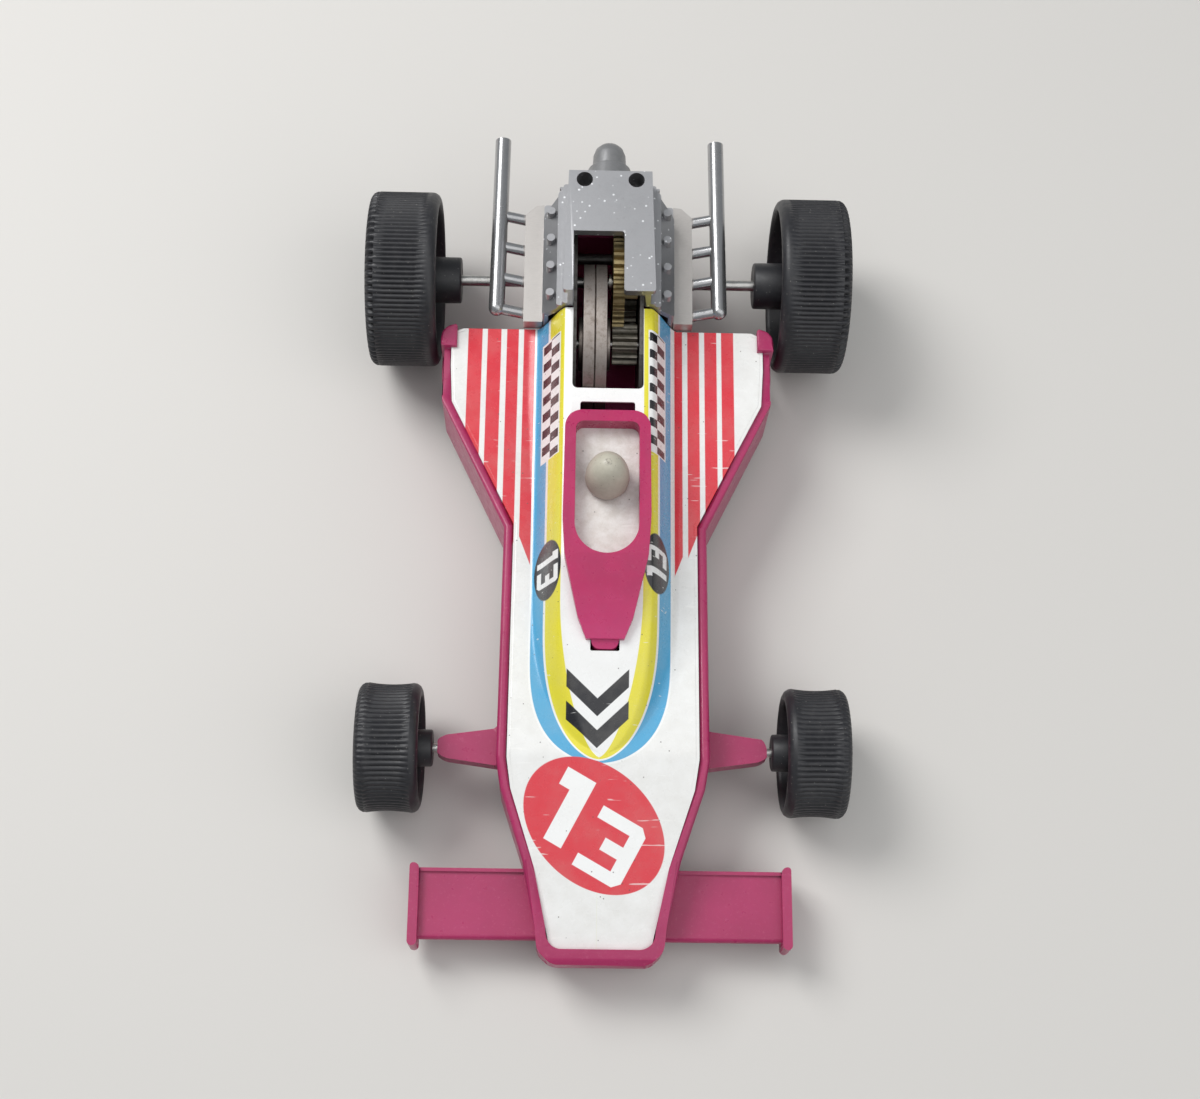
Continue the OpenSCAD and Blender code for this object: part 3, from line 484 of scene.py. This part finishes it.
def wear_tin(g, colour):
    """Dirt specks, bare scratches and a light haze over the print, and its gloss."""
    dirt = g.specks(0.42, 0.07)
    fine = g.specks(1.6, 0.09)
    colour = g.mix(g.mul(fine, 0.35), colour, (0.30, 0.27, 0.22, 1))
    colour = g.mix(g.mul(dirt, 0.8), colour, (0.07, 0.06, 0.05, 1))
    scratch = g.ramp(g.noise(0.55, 2, 0.5, (0.25, 2.6, 1)), 0.70, 0.72)
    colour = g.mix(g.mul(scratch, 0.5), colour, (0.88, 0.87, 0.84, 1))
    haze = g.ramp(g.noise(0.12, 6), 0.45, 0.75)
    colour = g.mix(g.mul(haze, 0.12), colour, (0.50, 0.47, 0.40, 1))
    g.set(Base_Color=colour, Roughness=g.ramp(g.noise(0.3), 0.3, 0.7, 0.2, 0.34),
          Coat_Weight=0.15, Coat_Roughness=0.15)
    g.bump(g.add(g.noise(0.09, 2), g.mul(dirt, 0.2)), 0.3, 0.5)


def printed_tin():
    """Printed tin: ground colour, stripes, bands, roundel, ovals, checks, chevrons and wear."""
    g = Graph("printed_tin")
    x, v = g.x, g.sub(g.y, REAR_Y / MM)
    colour = g.mix(g.noise(0.35, 5), COLOURS["white"], (0.72, 0.71, 0.68, 1))
    red = g.mix(g.noise(0.5, 6), COLOURS["red"], (0.64, 0.05, 0.07, 1))
    colour = g.mix(stripe_mask(g, x, v), colour, red)
    for half, start, tip, power, root, ink in BANDS:
        colour = g.mix(g.cover(bullet(g, x, v, half, start, tip, power, root)), colour, COLOURS[ink])
    colour = print_roundel(g, x, v, colour, red)
    for side in OVALS:
        colour = print_shoulder(g, x, v, colour, side)
    colour = print_chevrons(g, x, v, colour)
    wear_tin(g, greyed_pit(g, x, v, colour))
    return g.material


MATERIALS = {
    "magenta_plastic": magenta_plastic(),
    "printed_tin": printed_tin(),
    "beige_plastic": beige_plastic(),
    "plated_plastic": plated_plastic(),
    "plated_pipe": exhaust_plating(),
    "cowl_plastic": cowl_plastic(),
    "grey_plastic": grey_plastic(),
    "black_plastic": black_plastic(),
    "frame_steel": bare_metal("frame_steel", (0.30, 0.29, 0.28, 1), (0.14, 0.13, 0.12, 1), 0.4,
                              (0.03, 0.025, 0.02, 1), 0.5, (1, 1, 5)),
    "screw_steel": bare_metal("screw_steel", (0.45, 0.44, 0.42, 1), (0.3, 0.29, 0.27, 1), 0.3,
                              (0.05, 0.04, 0.03, 1), 0.3, (1, 1, 1)),
    "axle_steel": bare_metal("axle_steel", (0.62, 0.61, 0.59, 1), (0.42, 0.41, 0.39, 1), 0.2,
                             (0.12, 0.09, 0.06, 1), 0.35, (0.2, 3, 3)),
    "gear_brass": bare_metal("gear_brass", (0.42, 0.33, 0.17, 1), (0.24, 0.19, 0.10, 1), 0.35,
                             (0.05, 0.04, 0.025, 1), 0.45, (3, 1, 1)),
    "gear_steel": bare_metal("gear_steel", (0.36, 0.34, 0.29, 1), (0.2, 0.18, 0.15, 1), 0.38,
                             (0.05, 0.04, 0.03, 1), 0.45, (3, 1, 1)),
    "worn_steel": bare_metal("worn_steel", (0.46, 0.42, 0.39, 1), (0.22, 0.18, 0.155, 1), 0.36,
                             (0.08, 0.05, 0.035, 1), 0.55, (4, 0.8, 0.8)),
}
SLOT_OF = {row["node"]: row["material_slot"] for row in frame["record"]["subparts"]}
BODIES = frame["record"]["behaviour"]["bodies"]
BODY_OF = {node: body for body, nodes in BODIES.items() for node in nodes}


# ---------------------------------------------------------------- mesh helpers

SOFT_ANGLE, MOULDED_ANGLE, BEVEL_ANGLE = 40, 50, 28
CORNER_ANGLE, TOP_ANGLE = 35, 55
SAME_POINT, UPRIGHT_SLACK, SAME_EDGE = 2e-6, 1e-5, 1e-6


def link_mesh(name, mesh):
    """A new object in the scene with this mesh."""
    made = bpy.data.objects.new(name, mesh)
    bpy.context.scene.collection.objects.link(made)
    return made


def link_bmesh(name, bm):
    """A new object in the scene made from a bmesh."""
    mesh = bpy.data.meshes.new(name)
    bm.to_mesh(mesh)
    bm.free()
    return link_mesh(name, mesh)


def shade(piece, smooth_angle):
    """Smooth shading with sharp edges where the faces meet at more than the angle."""
    mesh = piece.data
    mesh.polygons.foreach_set("use_smooth", [True] * len(mesh.polygons))
    mesh.set_sharp_from_angle(angle=math.radians(smooth_angle))


def finish_piece(piece, node, look=None):
    """Gives a piece its material and its body, and hides the CAD node that it stands for."""
    piece.data.materials.clear()
    piece.data.materials.append(MATERIALS[look or SLOT_OF[node]])
    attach(piece, BODY_OF[node])
    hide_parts(node)


def new_piece(name, bm, node):
    """Turns a bmesh into the piece that stands for a CAD node, and gives it its material."""
    bmesh.ops.recalc_face_normals(bm, faces=bm.faces[:])
    piece = link_bmesh(name, bm)
    shade(piece, MOULDED_ANGLE)
    finish_piece(piece, node)
    return piece


def apply_modifiers(piece):
    """Replaces the mesh of a piece with what its modifiers make of it."""
    graph = bpy.context.evaluated_depsgraph_get()
    mesh = bpy.data.meshes.new_from_object(piece.evaluated_get(graph))
    piece.modifiers.clear()
    piece.data = mesh


def cut_away(piece, cutters):
    """Cuts the cutters out of a piece, after its other modifiers, and deletes them."""
    for cutter in cutters:
        cut = piece.modifiers.new(cutter.name, "BOOLEAN")
        cut.operation = "DIFFERENCE"
        cut.object = cutter
        cut.solver = "EXACT"
    apply_modifiers(piece)
    for cutter in cutters:
        bpy.data.objects.remove(cutter)


def skin(bm, rings, closed=True):
    """Faces between each ring of vertices and the next."""
    for before, ring in zip(rings, rings[1:]):
        for k in range(len(ring) if closed else len(ring) - 1):
            j = (k + 1) % len(ring)
            bm.faces.new((before[k], before[j], ring[j], ring[k]))


def round_edges(bm, edges, radius_mm, segments, clamp=False):
    """Rounds some edges of a bmesh as one bevel."""
    bmesh.ops.bevel(bm, geom=edges, offset=radius_mm * MM, segments=segments, affect="EDGES",
                    clamp_overlap=clamp, profile=0.5)


def round_uprights(bm, radius_mm, shortest_mm):
    """Rounds the upright corners of a mesh that are at least shortest_mm high, one at a time."""
    def middle(edge):
        return (edge.verts[0].co + edge.verts[1].co) / 2

    def is_corner(edge):
        low, high = sorted((edge.verts[0].co, edge.verts[1].co), key=lambda co: co.z)
        upright = (high - low).to_2d().length < UPRIGHT_SLACK and high.z - low.z >= shortest_mm * MM
        return (upright and len(edge.link_faces) == 2
                and edge.calc_face_angle(0) > math.radians(CORNER_ANGLE))

    places = [middle(edge) for edge in bm.edges if is_corner(edge)]
    for place in places:
        for edge in bm.edges:
            if (middle(edge) - place).length < SAME_EDGE and is_corner(edge):
                round_edges(bm, [edge], radius_mm, 5, clamp=True)
                break


def round_tops(bm, is_part, radius_mm, segments):
    """Rounds the sharp upper edges whose two ends is_part picks, as one bevel of their own."""
    def is_top(edge):
        if len(edge.link_faces) != 2 or not edge.is_convex:
            return False
        sharp = edge.calc_face_angle(0) >= math.radians(TOP_ANGLE)
        faces_up = max(face.normal.z for face in edge.link_faces) > 0.9
        return sharp and faces_up and all(is_part(vert.co / MM) for vert in edge.verts)

    round_edges(bm, [edge for edge in bm.edges if is_top(edge)], radius_mm, segments)


def softened(node, width_mm, segments, upright=None, cutters=(), tops=(), look=None):
    """A copy of a CAD node with its sharp edges rounded, which stands for the node."""
    piece = link_mesh(node + "_soft", NODES[node].data.copy())
    if cutters:
        cut_away(piece, cutters)
    bm = bmesh.new()
    bm.from_mesh(piece.data)
    bmesh.ops.remove_doubles(bm, verts=bm.verts[:], dist=SAME_POINT)
    bmesh.ops.dissolve_limit(bm, angle_limit=math.radians(1), verts=bm.verts[:], edges=bm.edges[:])
    if upright:
        round_uprights(bm, *upright)
    for top in tops:
        round_tops(bm, *top)
    bm.to_mesh(piece.data)
    bm.free()
    bevel = piece.modifiers.new("round", "BEVEL")
    bevel.width = width_mm * MM
    bevel.segments = segments
    bevel.limit_method = "ANGLE"
    bevel.angle_limit = math.radians(BEVEL_ANGLE)
    bevel.use_clamp_overlap = True
    apply_modifiers(piece)
    shade(piece, SOFT_ANGLE)
    even = piece.modifiers.new("even", "WEIGHTED_NORMAL")
    even.keep_sharp = True
    even.weight = 90
    apply_modifiers(piece)
    finish_piece(piece, node, look)


# ---------------------------------------------------------------- chassis

HOOK_X, HOOK_Y, HOOK_TOP, HOOK_RADIUS = 35.2, 44.4, 24.7, 3.0
CUT_LOW, CUT_HIGH = 3, 27
RIM_TOP, RIM_FALL, RIM_BEND_Y = 22.8, 0.207, -47.9
RIM_FRONT_Y, RIM_BACK_Y, RIM_INNER_X = -81, 28.2, 12.5


def corner_cutter(side):
    """A prism that takes the outer rear corner off a chassis hook and leaves it round."""
    x0, y0 = HOOK_X - HOOK_RADIUS, HOOK_Y - HOOK_RADIUS
    far = HOOK_RADIUS + 1
    turns = [math.radians(a) for a in range(0, 91, 9)]
    outline = [(x0 + HOOK_RADIUS * math.cos(a), y0 + HOOK_RADIUS * math.sin(a)) for a in turns]
    outline += [(x0, y0 + far), (x0 + far, y0 + far), (x0 + far, y0)]
    bm = bmesh.new()
    rings = [[bm.verts.new((side * x * MM, y * MM, z * MM)) for x, y in outline]
             for z in (CUT_LOW, CUT_HIGH)]
    for ring in rings:
        bm.faces.new(ring)
    skin(bm, rings)
    bmesh.ops.recalc_face_normals(bm, faces=bm.faces[:])
    return link_bmesh("corner", bm)


def is_rim(place):
    """Whether a corner of the chassis, in millimetres, is on top of the rim by the waist and nose."""
    top = RIM_TOP - RIM_FALL * max(0.0, RIM_BEND_Y - place.y)
    along_rim = RIM_FRONT_Y < place.y < RIM_BACK_Y and abs(place.x) > RIM_INNER_X
    return abs(place.z - top) < 0.15 and along_rim


def is_hook(place):
    """Whether a corner of the chassis, in millimetres, is on top of a hook."""
    return abs(place.z - HOOK_TOP) < 0.05


def chassis():
    """The chassis with round hooks, a round rim and softened edges."""
    softened("chassis", 0.55, 3, upright=(1.2, 3.0), cutters=[corner_cutter(-1), corner_cutter(1)],
             tops=((is_rim, 0.85, 4), (is_hook, 0.4, 3)))


# ---------------------------------------------------------------- wheels

REAR = {"hub_out": 4.6, "hub_r": 5.0, "rib_depth": 0.34, "notch_depth": 0.75, "tread_start": 2.4,
        "ribs": 114, "notches": 68, "waist": 0.0, "y": REAR_Y, "z": REAR_Z}
FRONT = {"hub_out": 2.3, "hub_r": 3.8, "rib_depth": 0.3, "notch_depth": 0.22, "tread_start": 1.7,
         "ribs": 72, "notches": 72, "waist": 0.35, "y": FRONT_Y, "z": FRONT_Z}
WALL, TREAD_INSET, TREAD_STEPS, ROUND_STEPS_PER_RIB = 2.4, 1.9, 10, 6
TREAD_SLACK, START_FADE, END_FADE, SHOULDER = 0.01, 0.8, 0.5, 1.3


def tread_span(kind, width):
    """Where the ribs start and end, in millimetres from the inner lip."""
    return kind["tread_start"], width - kind["hub_out"] - TREAD_INSET


def outer_outline(kind, width, radius):
    """The wheel's outside as (distance from the hub's inner end, radius), inner lip first."""
    lip, hub_r = kind["hub_out"], kind["hub_r"]
    cup_r = radius - WALL
    start, end = tread_span(kind, width)
    outline = [(lip + 0.25, cup_r + 0.1), (lip, cup_r + 0.5), (lip + 0.1, radius - 1.2),
               (lip + 0.45, radius - 0.55), (lip + 1.1, radius - 0.12), (lip + 1.6, radius - 0.02)]
    for i in range(TREAD_STEPS + 1):
        t = i / TREAD_STEPS
        sag = kind["waist"] * (1 - (2 * t - 1) ** 2)
        outline.append((lip + start + (end - start) * t, radius - sag))
    return outline + [
        (width - 1.7, radius - 0.05), (width - 1.2, radius - 0.06), (width - 0.6, radius - 0.4),
        (width - 0.15, radius - 1.0), (width, radius - 1.8), (width, cup_r + 0.2),
        (width - 0.35, cup_r - 0.3), (width - 1.3, cup_r - 0.9), (width - 1.5, hub_r + 2.4),
        (width - 1.1, hub_r + 1.2), (width - 0.55, hub_r + 0.5), (width - 0.5, hub_r - 1.5),
        (width - 0.75, 1.6), (width - 0.8, 0.0)]


def inner_outline(kind, width, radius):
    """The open cup and the hub that face the body, from the inner lip to the hub's end."""
    lip, hub_r = kind["hub_out"], kind["hub_r"]
    cup_r = radius - WALL
    return [(lip + 0.25, cup_r + 0.1), (lip + 1.0, cup_r - 0.05), (width - 3.6, cup_r - 0.4),
            (width - 3.3, cup_r - 0.9), (width - 3.2, hub_r + 0.8), (width - 3.5, hub_r + 0.1),
            (lip + 1.2, hub_r), (0.35, hub_r - 0.05), (0.1, hub_r - 0.2), (0.0, hub_r - 0.5),
            (0.0, 1.2), (0.3, 0.0)]


def ribbed_radius(kind, width, radius, distance, r, turn):
    """The radius at one place of the outside, with the ribs and the shoulder's notches cut in."""
    start, end = tread_span(kind, width)
    along_tread = distance - kind["hub_out"]
    if start - TREAD_SLACK <= along_tread <= end + TREAD_SLACK:
        wave = 0.5 - 0.5 * math.cos(turn * kind["ribs"])
        fade = min(1.0, (along_tread - start + TREAD_SLACK) / START_FADE,
                   (end + TREAD_SLACK - along_tread) / END_FADE)
        return r - kind["rib_depth"] * fade * (1 - wave) ** 2
    if along_tread > end and r > radius - SHOULDER:
        wave = 0.5 - 0.5 * math.cos(turn * kind["notches"])
        return r - kind["notch_depth"] * (1 - wave) ** 1.5
    return r


def wheel(node, side, kind):
    """A hollow moulded wheel with a ribbed tread, open towards the body. side is +1 or -1."""
    low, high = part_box(node)
    inner_x = low.x if side > 0 else high.x
    radius = (high.z - low.z) / 2 / MM
    width = (high.x - low.x) / MM
    turns = kind["ribs"] * ROUND_STEPS_PER_RIB
    bm = bmesh.new()

    def ring(distance, r, ribbed):
        made = []
        for k in range(turns):
            turn = 2 * math.pi * k / turns
            here = ribbed_radius(kind, width, radius, distance, r, turn) if ribbed else r
            y = kind["y"] + here * MM * math.cos(turn)
            z = kind["z"] + here * MM * math.sin(turn)
            made.append(bm.verts.new((inner_x + side * distance * MM, y, z)))
        return made

    skin(bm, [ring(distance, r, True) for distance, r in outer_outline(kind, width, radius)])
    skin(bm, [ring(distance, r, False) for distance, r in inner_outline(kind, width, radius)])
    bmesh.ops.remove_doubles(bm, verts=bm.verts[:], dist=3e-5)
    new_piece(node + "_moulding", bm, node)


# ---------------------------------------------------------------- tin body
# Here v is the distance ahead of the rear axle in millimetres.

TIN_NOSE, NOSE_Z = 142.6, 14.0
FOLD, SLOPE = 105.5, 69.2
FOOT, CREST = 14.7, 8.9
FOLD_ROUND, SLOPE_ROUND = 1.2, 2.5
RIDGE_FADE, FLANK_LEAST, FLANK_STRAIGHT = 0.3, 0.2, 0.45
TIN_SHEET, TIN_OVERHANG = 0.42, 0.4
SIDE = ((13.7, 30.6), (14.2, 31.7), (15, 32.5), (16.6, 33.0), (22.3, 33.0), (30.5, 32.5),
        (57.6, 18.85), (106.5, 19.05), (112.3, 18.2), (126.2, 13.6), (138.6, 10.8), (141.3, 10.2),
        (142.6, 8.6))
PODS_V = (13.7, 13.9, 14.2, 14.6, 15, 15.7, 16.6, 18, 20, 22.3, 24, 27, 30.5, 33, 36, 40, 44, 48,
          52, 56, 57.6, 60, 64, 67, 69, 71)
SLOPE_V = tuple(72 + 1.1 * i for i in range(30))
NOSE_V = (104.6, 105.5, 106.5, 107.6, 109, 110.6, 112.3, 115, 118, 121, 124, 126.2, 129, 132, 135,
          138.6, 140, 141.3, 142.2, 142.6)
ROLLED_EDGE = ((0.12, 0.05), (0.3, 0.2), (0.38, 0.6), (0.4, 3.9))
TAB_V, TAB_HALF, TAB_TOP, TAB_SHEET = (66, 90.5), 2.5, 21, 0.45
TAB_INNER, TAB_BEND, TAB_OUTER = 15.6, 18.3, 18.75


def behind(v):
    """The frame's y, in millimetres, at distance v ahead of the rear axle."""
    return REAR_Y / MM - v


TIN_CUTS = (
    ("motor", (-7.3, behind(31.8), 20), (7.3, behind(10), 60), 1.1),
    ("rear_slot", (-5.6, behind(39.2), 30), (5.6, behind(34.8), 60), 0.5),
    ("front_slot", (-2.9, behind(86.1), 24), (2.9, behind(83.5), 60), 0.3),
)


def side_half(v):
    """Half width of the tin body at distance v."""
    for (v0, w0), (v1, w1) in zip(SIDE, SIDE[1:]):
        if v <= v1:
            return w0 + (w1 - w0) * (v - v0) / (v1 - v0)
    return SIDE[-1][1]


def soft_ramp(t, k):
    """max(0, t) with its corner rounded over about k."""
    return 0.5 * (t + math.sqrt(t * t + k * k)) - 0.5 * k * math.exp(-abs(t) / k)


def ridge_share(v):
    """How much of the ridge's full width is left at distance v: 1 behind the slope, 0 at the fold."""
    t = min(1.0, max(0.0, (v - SLOPE) / (FOLD - SLOPE)))
    return max(0.0, 1 - t ** 3) ** 0.6


def tin_height(x, v):
    """Height of the tin's outer face, with rounded folds where the ridge meets the deck."""
    deck = DECK_Z - (DECK_Z - NOSE_Z) / (TIN_NOSE - FOLD) * soft_ramp(v - FOLD, FOLD_ROUND)
    ridge = RIDGE_Z - (RIDGE_Z - DECK_Z) / (FOLD - SLOPE) * soft_ramp(v - SLOPE, SLOPE_ROUND)
    foot, crest = FOOT * ridge_share(v), CREST * ridge_share(v)
    if foot < RIDGE_FADE:
        return deck
    u = min(1.0, max(0.0, (foot - abs(x)) / max(foot - crest, FLANK_LEAST)))
    smooth = u * u * (3 - 2 * u)
    return deck + max(0.0, ridge - deck) * (smooth + (u - smooth) * FLANK_STRAIGHT)


def tin_grid(bm):
    """Rows of vertices over the tin's outer face, from the rear edge to the nose."""
    grid = []
    for v in PODS_V + SLOPE_V + NOSE_V:
        w = side_half(v)
        share = max(0.06, ridge_share(v))
        crest, foot = CREST * share, min(FOOT * share, w * 0.9)
        half = [crest * (i / 5) for i in range(5)]
        half += [crest + (foot - crest) * i / 10 for i in range(11)]
        half += [foot + (w - foot) * i / 8 for i in range(1, 9)]
        xs = [-h for h in reversed(half[1:])] + half
        y = REAR_Y - v * MM
        grid.append([bm.verts.new((x * MM, y, tin_height(x, v) * MM)) for x in xs])
    return grid


def tin_skirt(bm, grid):
    """The rolled edge and the skirt, along the right side, round the nose and back along the left."""
    right, left = [row[-1] for row in grid], [row[0] for row in grid]
    border = right + list(reversed(grid[-1][:-1])) + list(reversed(left[:-1]))
    places = [vert.co.copy() for vert in border]
    inward = []
    for i in range(len(places)):
        ahead = (places[min(i + 1, len(places) - 1)] - places[max(i - 1, 0)]).normalized()
        inward.append(Vector((-ahead.y, ahead.x, 0)).normalized())
    middle = Vector((0, (places[0].y + places[len(places) // 2].y) / 2, 0))
    if (middle - places[3]).dot(inward[3]) > 0:
        inward = [-d for d in inward]
    lines = [border]
    for out, down in ROLLED_EDGE:
        shifts = [d * (out - TIN_OVERHANG) * MM for d in inward]
        lines.append([bm.verts.new((place.x + shift.x, place.y + shift.y, place.z - down * MM))
                      for place, shift in zip(places, shifts)])
    skin(bm, lines, closed=False)


def box_cutter(name, low, high, corner_mm):
    """A box with its upright corners rounded, used to cut openings."""
    bm = bmesh.new()
    add_box(bm, low, high)
    uprights = [e for e in bm.edges if abs(e.verts[0].co.z - e.verts[1].co.z) > MM]
    round_edges(bm, uprights, corner_mm, 5)
    return link_bmesh("cut_" + name, bm)


def add_box(bm, low, high):
    """A box between two corners given in millimetres."""
    for vert in bmesh.ops.create_cube(bm, size=1)["verts"]:
        for i in range(3):
            vert.co[i] = (low[i] if vert.co[i] < 0 else high[i]) * MM


def add_tabs(bm):
    """The four tabs that pass through the floor and are bent over under it."""
    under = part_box("tin_body")[0].z / MM
    for side in (-1, 1):
        for v in TAB_V:
            y0, y1 = behind(v) - TAB_HALF, behind(v) + TAB_HALF
            x0, x1 = sorted((side * TAB_BEND, side * TAB_OUTER))
            add_box(bm, (x0, y0, under), (x1, y1, TAB_TOP))
            x0, x1 = sorted((side * TAB_INNER, side * TAB_BEND))
            add_box(bm, (x0, y0, under), (x1, y1, under + TAB_SHEET))


def tin_body():
    """One pressed sheet: a grid that follows the outline, rolled edge, skirt, thickness and tabs."""
    bm = bmesh.new()
    grid = tin_grid(bm)
    skin(bm, grid, closed=False)
    tin_skirt(bm, grid)
    piece = new_piece("tin_pressing", bm, "tin_body")
    sheet = piece.modifiers.new("sheet", "SOLIDIFY")
    sheet.thickness = TIN_SHEET * MM
    sheet.offset = -1
    cut_away(piece, [box_cutter(*opening) for opening in TIN_CUTS])
    bm = bmesh.new()
    bm.from_mesh(piece.data)
    add_tabs(bm)
    bm.to_mesh(piece.data)
    bm.free()
    shade(piece, MOULDED_ANGLE)


# ---------------------------------------------------------------- driver's head

HEAD_BEND, HEAD_TIP, HEAD_POWER, HEAD_TURNS = 0.0019, 0.0004, 0.92, 64
HEAD_FOOT = ((0.55, -0.0004), (0.8, 0.0), (0.93, 0.0006), (0.985, 0.0013))


def driver_head():
    """The driver's plain head, turned from a bullet outline."""
    low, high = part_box("driver_head")
    centre = (low + high) / 2
    r = (high.x - low.x) / 2
    base = RIDGE_Z * MM
    height = high.z - base
    profile = [(r * share, z) for share, z in HEAD_FOOT]
    for i in range(15):
        a = math.radians(6 * i)
        profile.append((r * math.cos(a) ** HEAD_POWER, HEAD_BEND + (height - HEAD_BEND) * math.sin(a)))
    profile.append((HEAD_TIP, height))
    turns = [2 * math.pi * k / HEAD_TURNS for k in range(HEAD_TURNS)]
    bm = bmesh.new()
    rings = [[bm.verts.new((centre.x + here * math.cos(a), centre.y + here * math.sin(a), base + z))
              for a in turns] for here, z in profile]
    bm.faces.new(rings[0])
    skin(bm, rings)
    bm.faces.new(rings[-1])
    new_piece("driver_head_moulding", bm, "driver_head")


# ---------------------------------------------------------------- pieces

CARRIED_OVER = ("drive_gear", "idler_gear", "idler_pinion", "flywheel_pinion", "motor_frame_left",
                "motor_frame_right", "frame_pillars", "frame_screws", "axle_bushes", "rear_axle",
                "idler_post", "flywheel_shaft", "front_axle")


def carry_over(name):
    """Shows a CAD node as it is, with its material."""
    mesh = NODES[name].data
    mesh.materials.clear()
    mesh.materials.append(MATERIALS[SLOT_OF[name]])


wheel("rear_wheel_left", 1, REAR)
wheel("rear_wheel_right", -1, REAR)
wheel("front_wheel_left", 1, FRONT)
wheel("front_wheel_right", -1, FRONT)
tin_body()
driver_head()
chassis()
softened("cockpit_surround", 0.8, 4, upright=(1.6, 2.0), look="cowl_plastic")
softened("engine_block", 0.22, 2, upright=(0.6, 1.0))
softened("exhaust_left", 0.25, 3, look="plated_pipe")
softened("exhaust_right", 0.25, 3, look="plated_pipe")
softened("gearbox_cover", 0.25, 3)
softened("flywheel_disc_left", 0.12, 2)
softened("flywheel_disc_right", 0.12, 2)
softened("flywheel_washers", 0.12, 2)
for name in CARRIED_OVER:
    carry_over(name)


# ---------------------------------------------------------------- floor, light and camera

FLOOR_HALF = 1.5
CAMERA_PLACE, CAMERA_AIM = Vector((-0.00783, -0.13317, 0.39531)), Vector((-0.00091, -0.0024, 0.015))
CAMERA_ROLL, CAMERA_LENS, CAMERA_SENSOR = math.radians(3.829), 57.66, 36


def floor():
    """The plain floor under the car."""
    bm = bmesh.new()
    bmesh.ops.create_grid(bm, x_segments=2, y_segments=2, size=FLOOR_HALF)
    made = link_bmesh("floor", bm)
    g = Graph("floor")
    g.set(Base_Color=(0.62, 0.60, 0.57, 1), Roughness=0.6)
    made.data.materials.append(g.material)


def area_light(name, place, size, power):
    """A square light that faces the origin."""
    light = bpy.data.lights.new(name, "AREA")
    light.size = size
    light.energy = power
    made = bpy.data.objects.new(name, light)
    bpy.context.scene.collection.objects.link(made)
    made.location = place
    made.rotation_euler = (-Vector(place)).to_track_quat("-Z", "Y").to_euler()


def camera():
    """The photo's camera: high up, a little ahead of the nose, looking down and back, with a small roll."""
    data = bpy.data.cameras.new("camera")
    data.sensor_width = CAMERA_SENSOR
    data.lens = CAMERA_LENS
    data.clip_start = 0.01
    made = bpy.data.objects.new("camera", data)
    bpy.context.scene.collection.objects.link(made)
    back = (CAMERA_PLACE - CAMERA_AIM).normalized()
    side = Vector((0, 0, 1)).cross(back).normalized()
    up = back.cross(side)
    across = side * math.cos(CAMERA_ROLL) + up * math.sin(CAMERA_ROLL)
    upwards = up * math.cos(CAMERA_ROLL) - side * math.sin(CAMERA_ROLL)
    turn = Matrix((across, upwards, back)).transposed().to_4x4()
    turn.translation = CAMERA_PLACE
    made.matrix_world = turn
    bpy.context.scene.camera = made


def world():
    """A dim, slightly blue surrounding."""
    made = bpy.data.worlds.new("studio")
    bpy.context.scene.world = made
    made.use_nodes = True
    background = made.node_tree.nodes["Background"]
    background.inputs["Color"].default_value = (0.9, 0.95, 1.0, 1)
    background.inputs["Strength"].default_value = 0.32


floor()
area_light("key", (-0.45, 0.35, 0.7), 0.45, 5.8)
area_light("fill", (0.6, -0.3, 0.55), 0.8, 1.8)
area_light("top", (0.1, -0.1, 0.95), 0.9, 2.5)
world()
camera()
bpy.context.scene.view_settings.view_transform = "Standard"
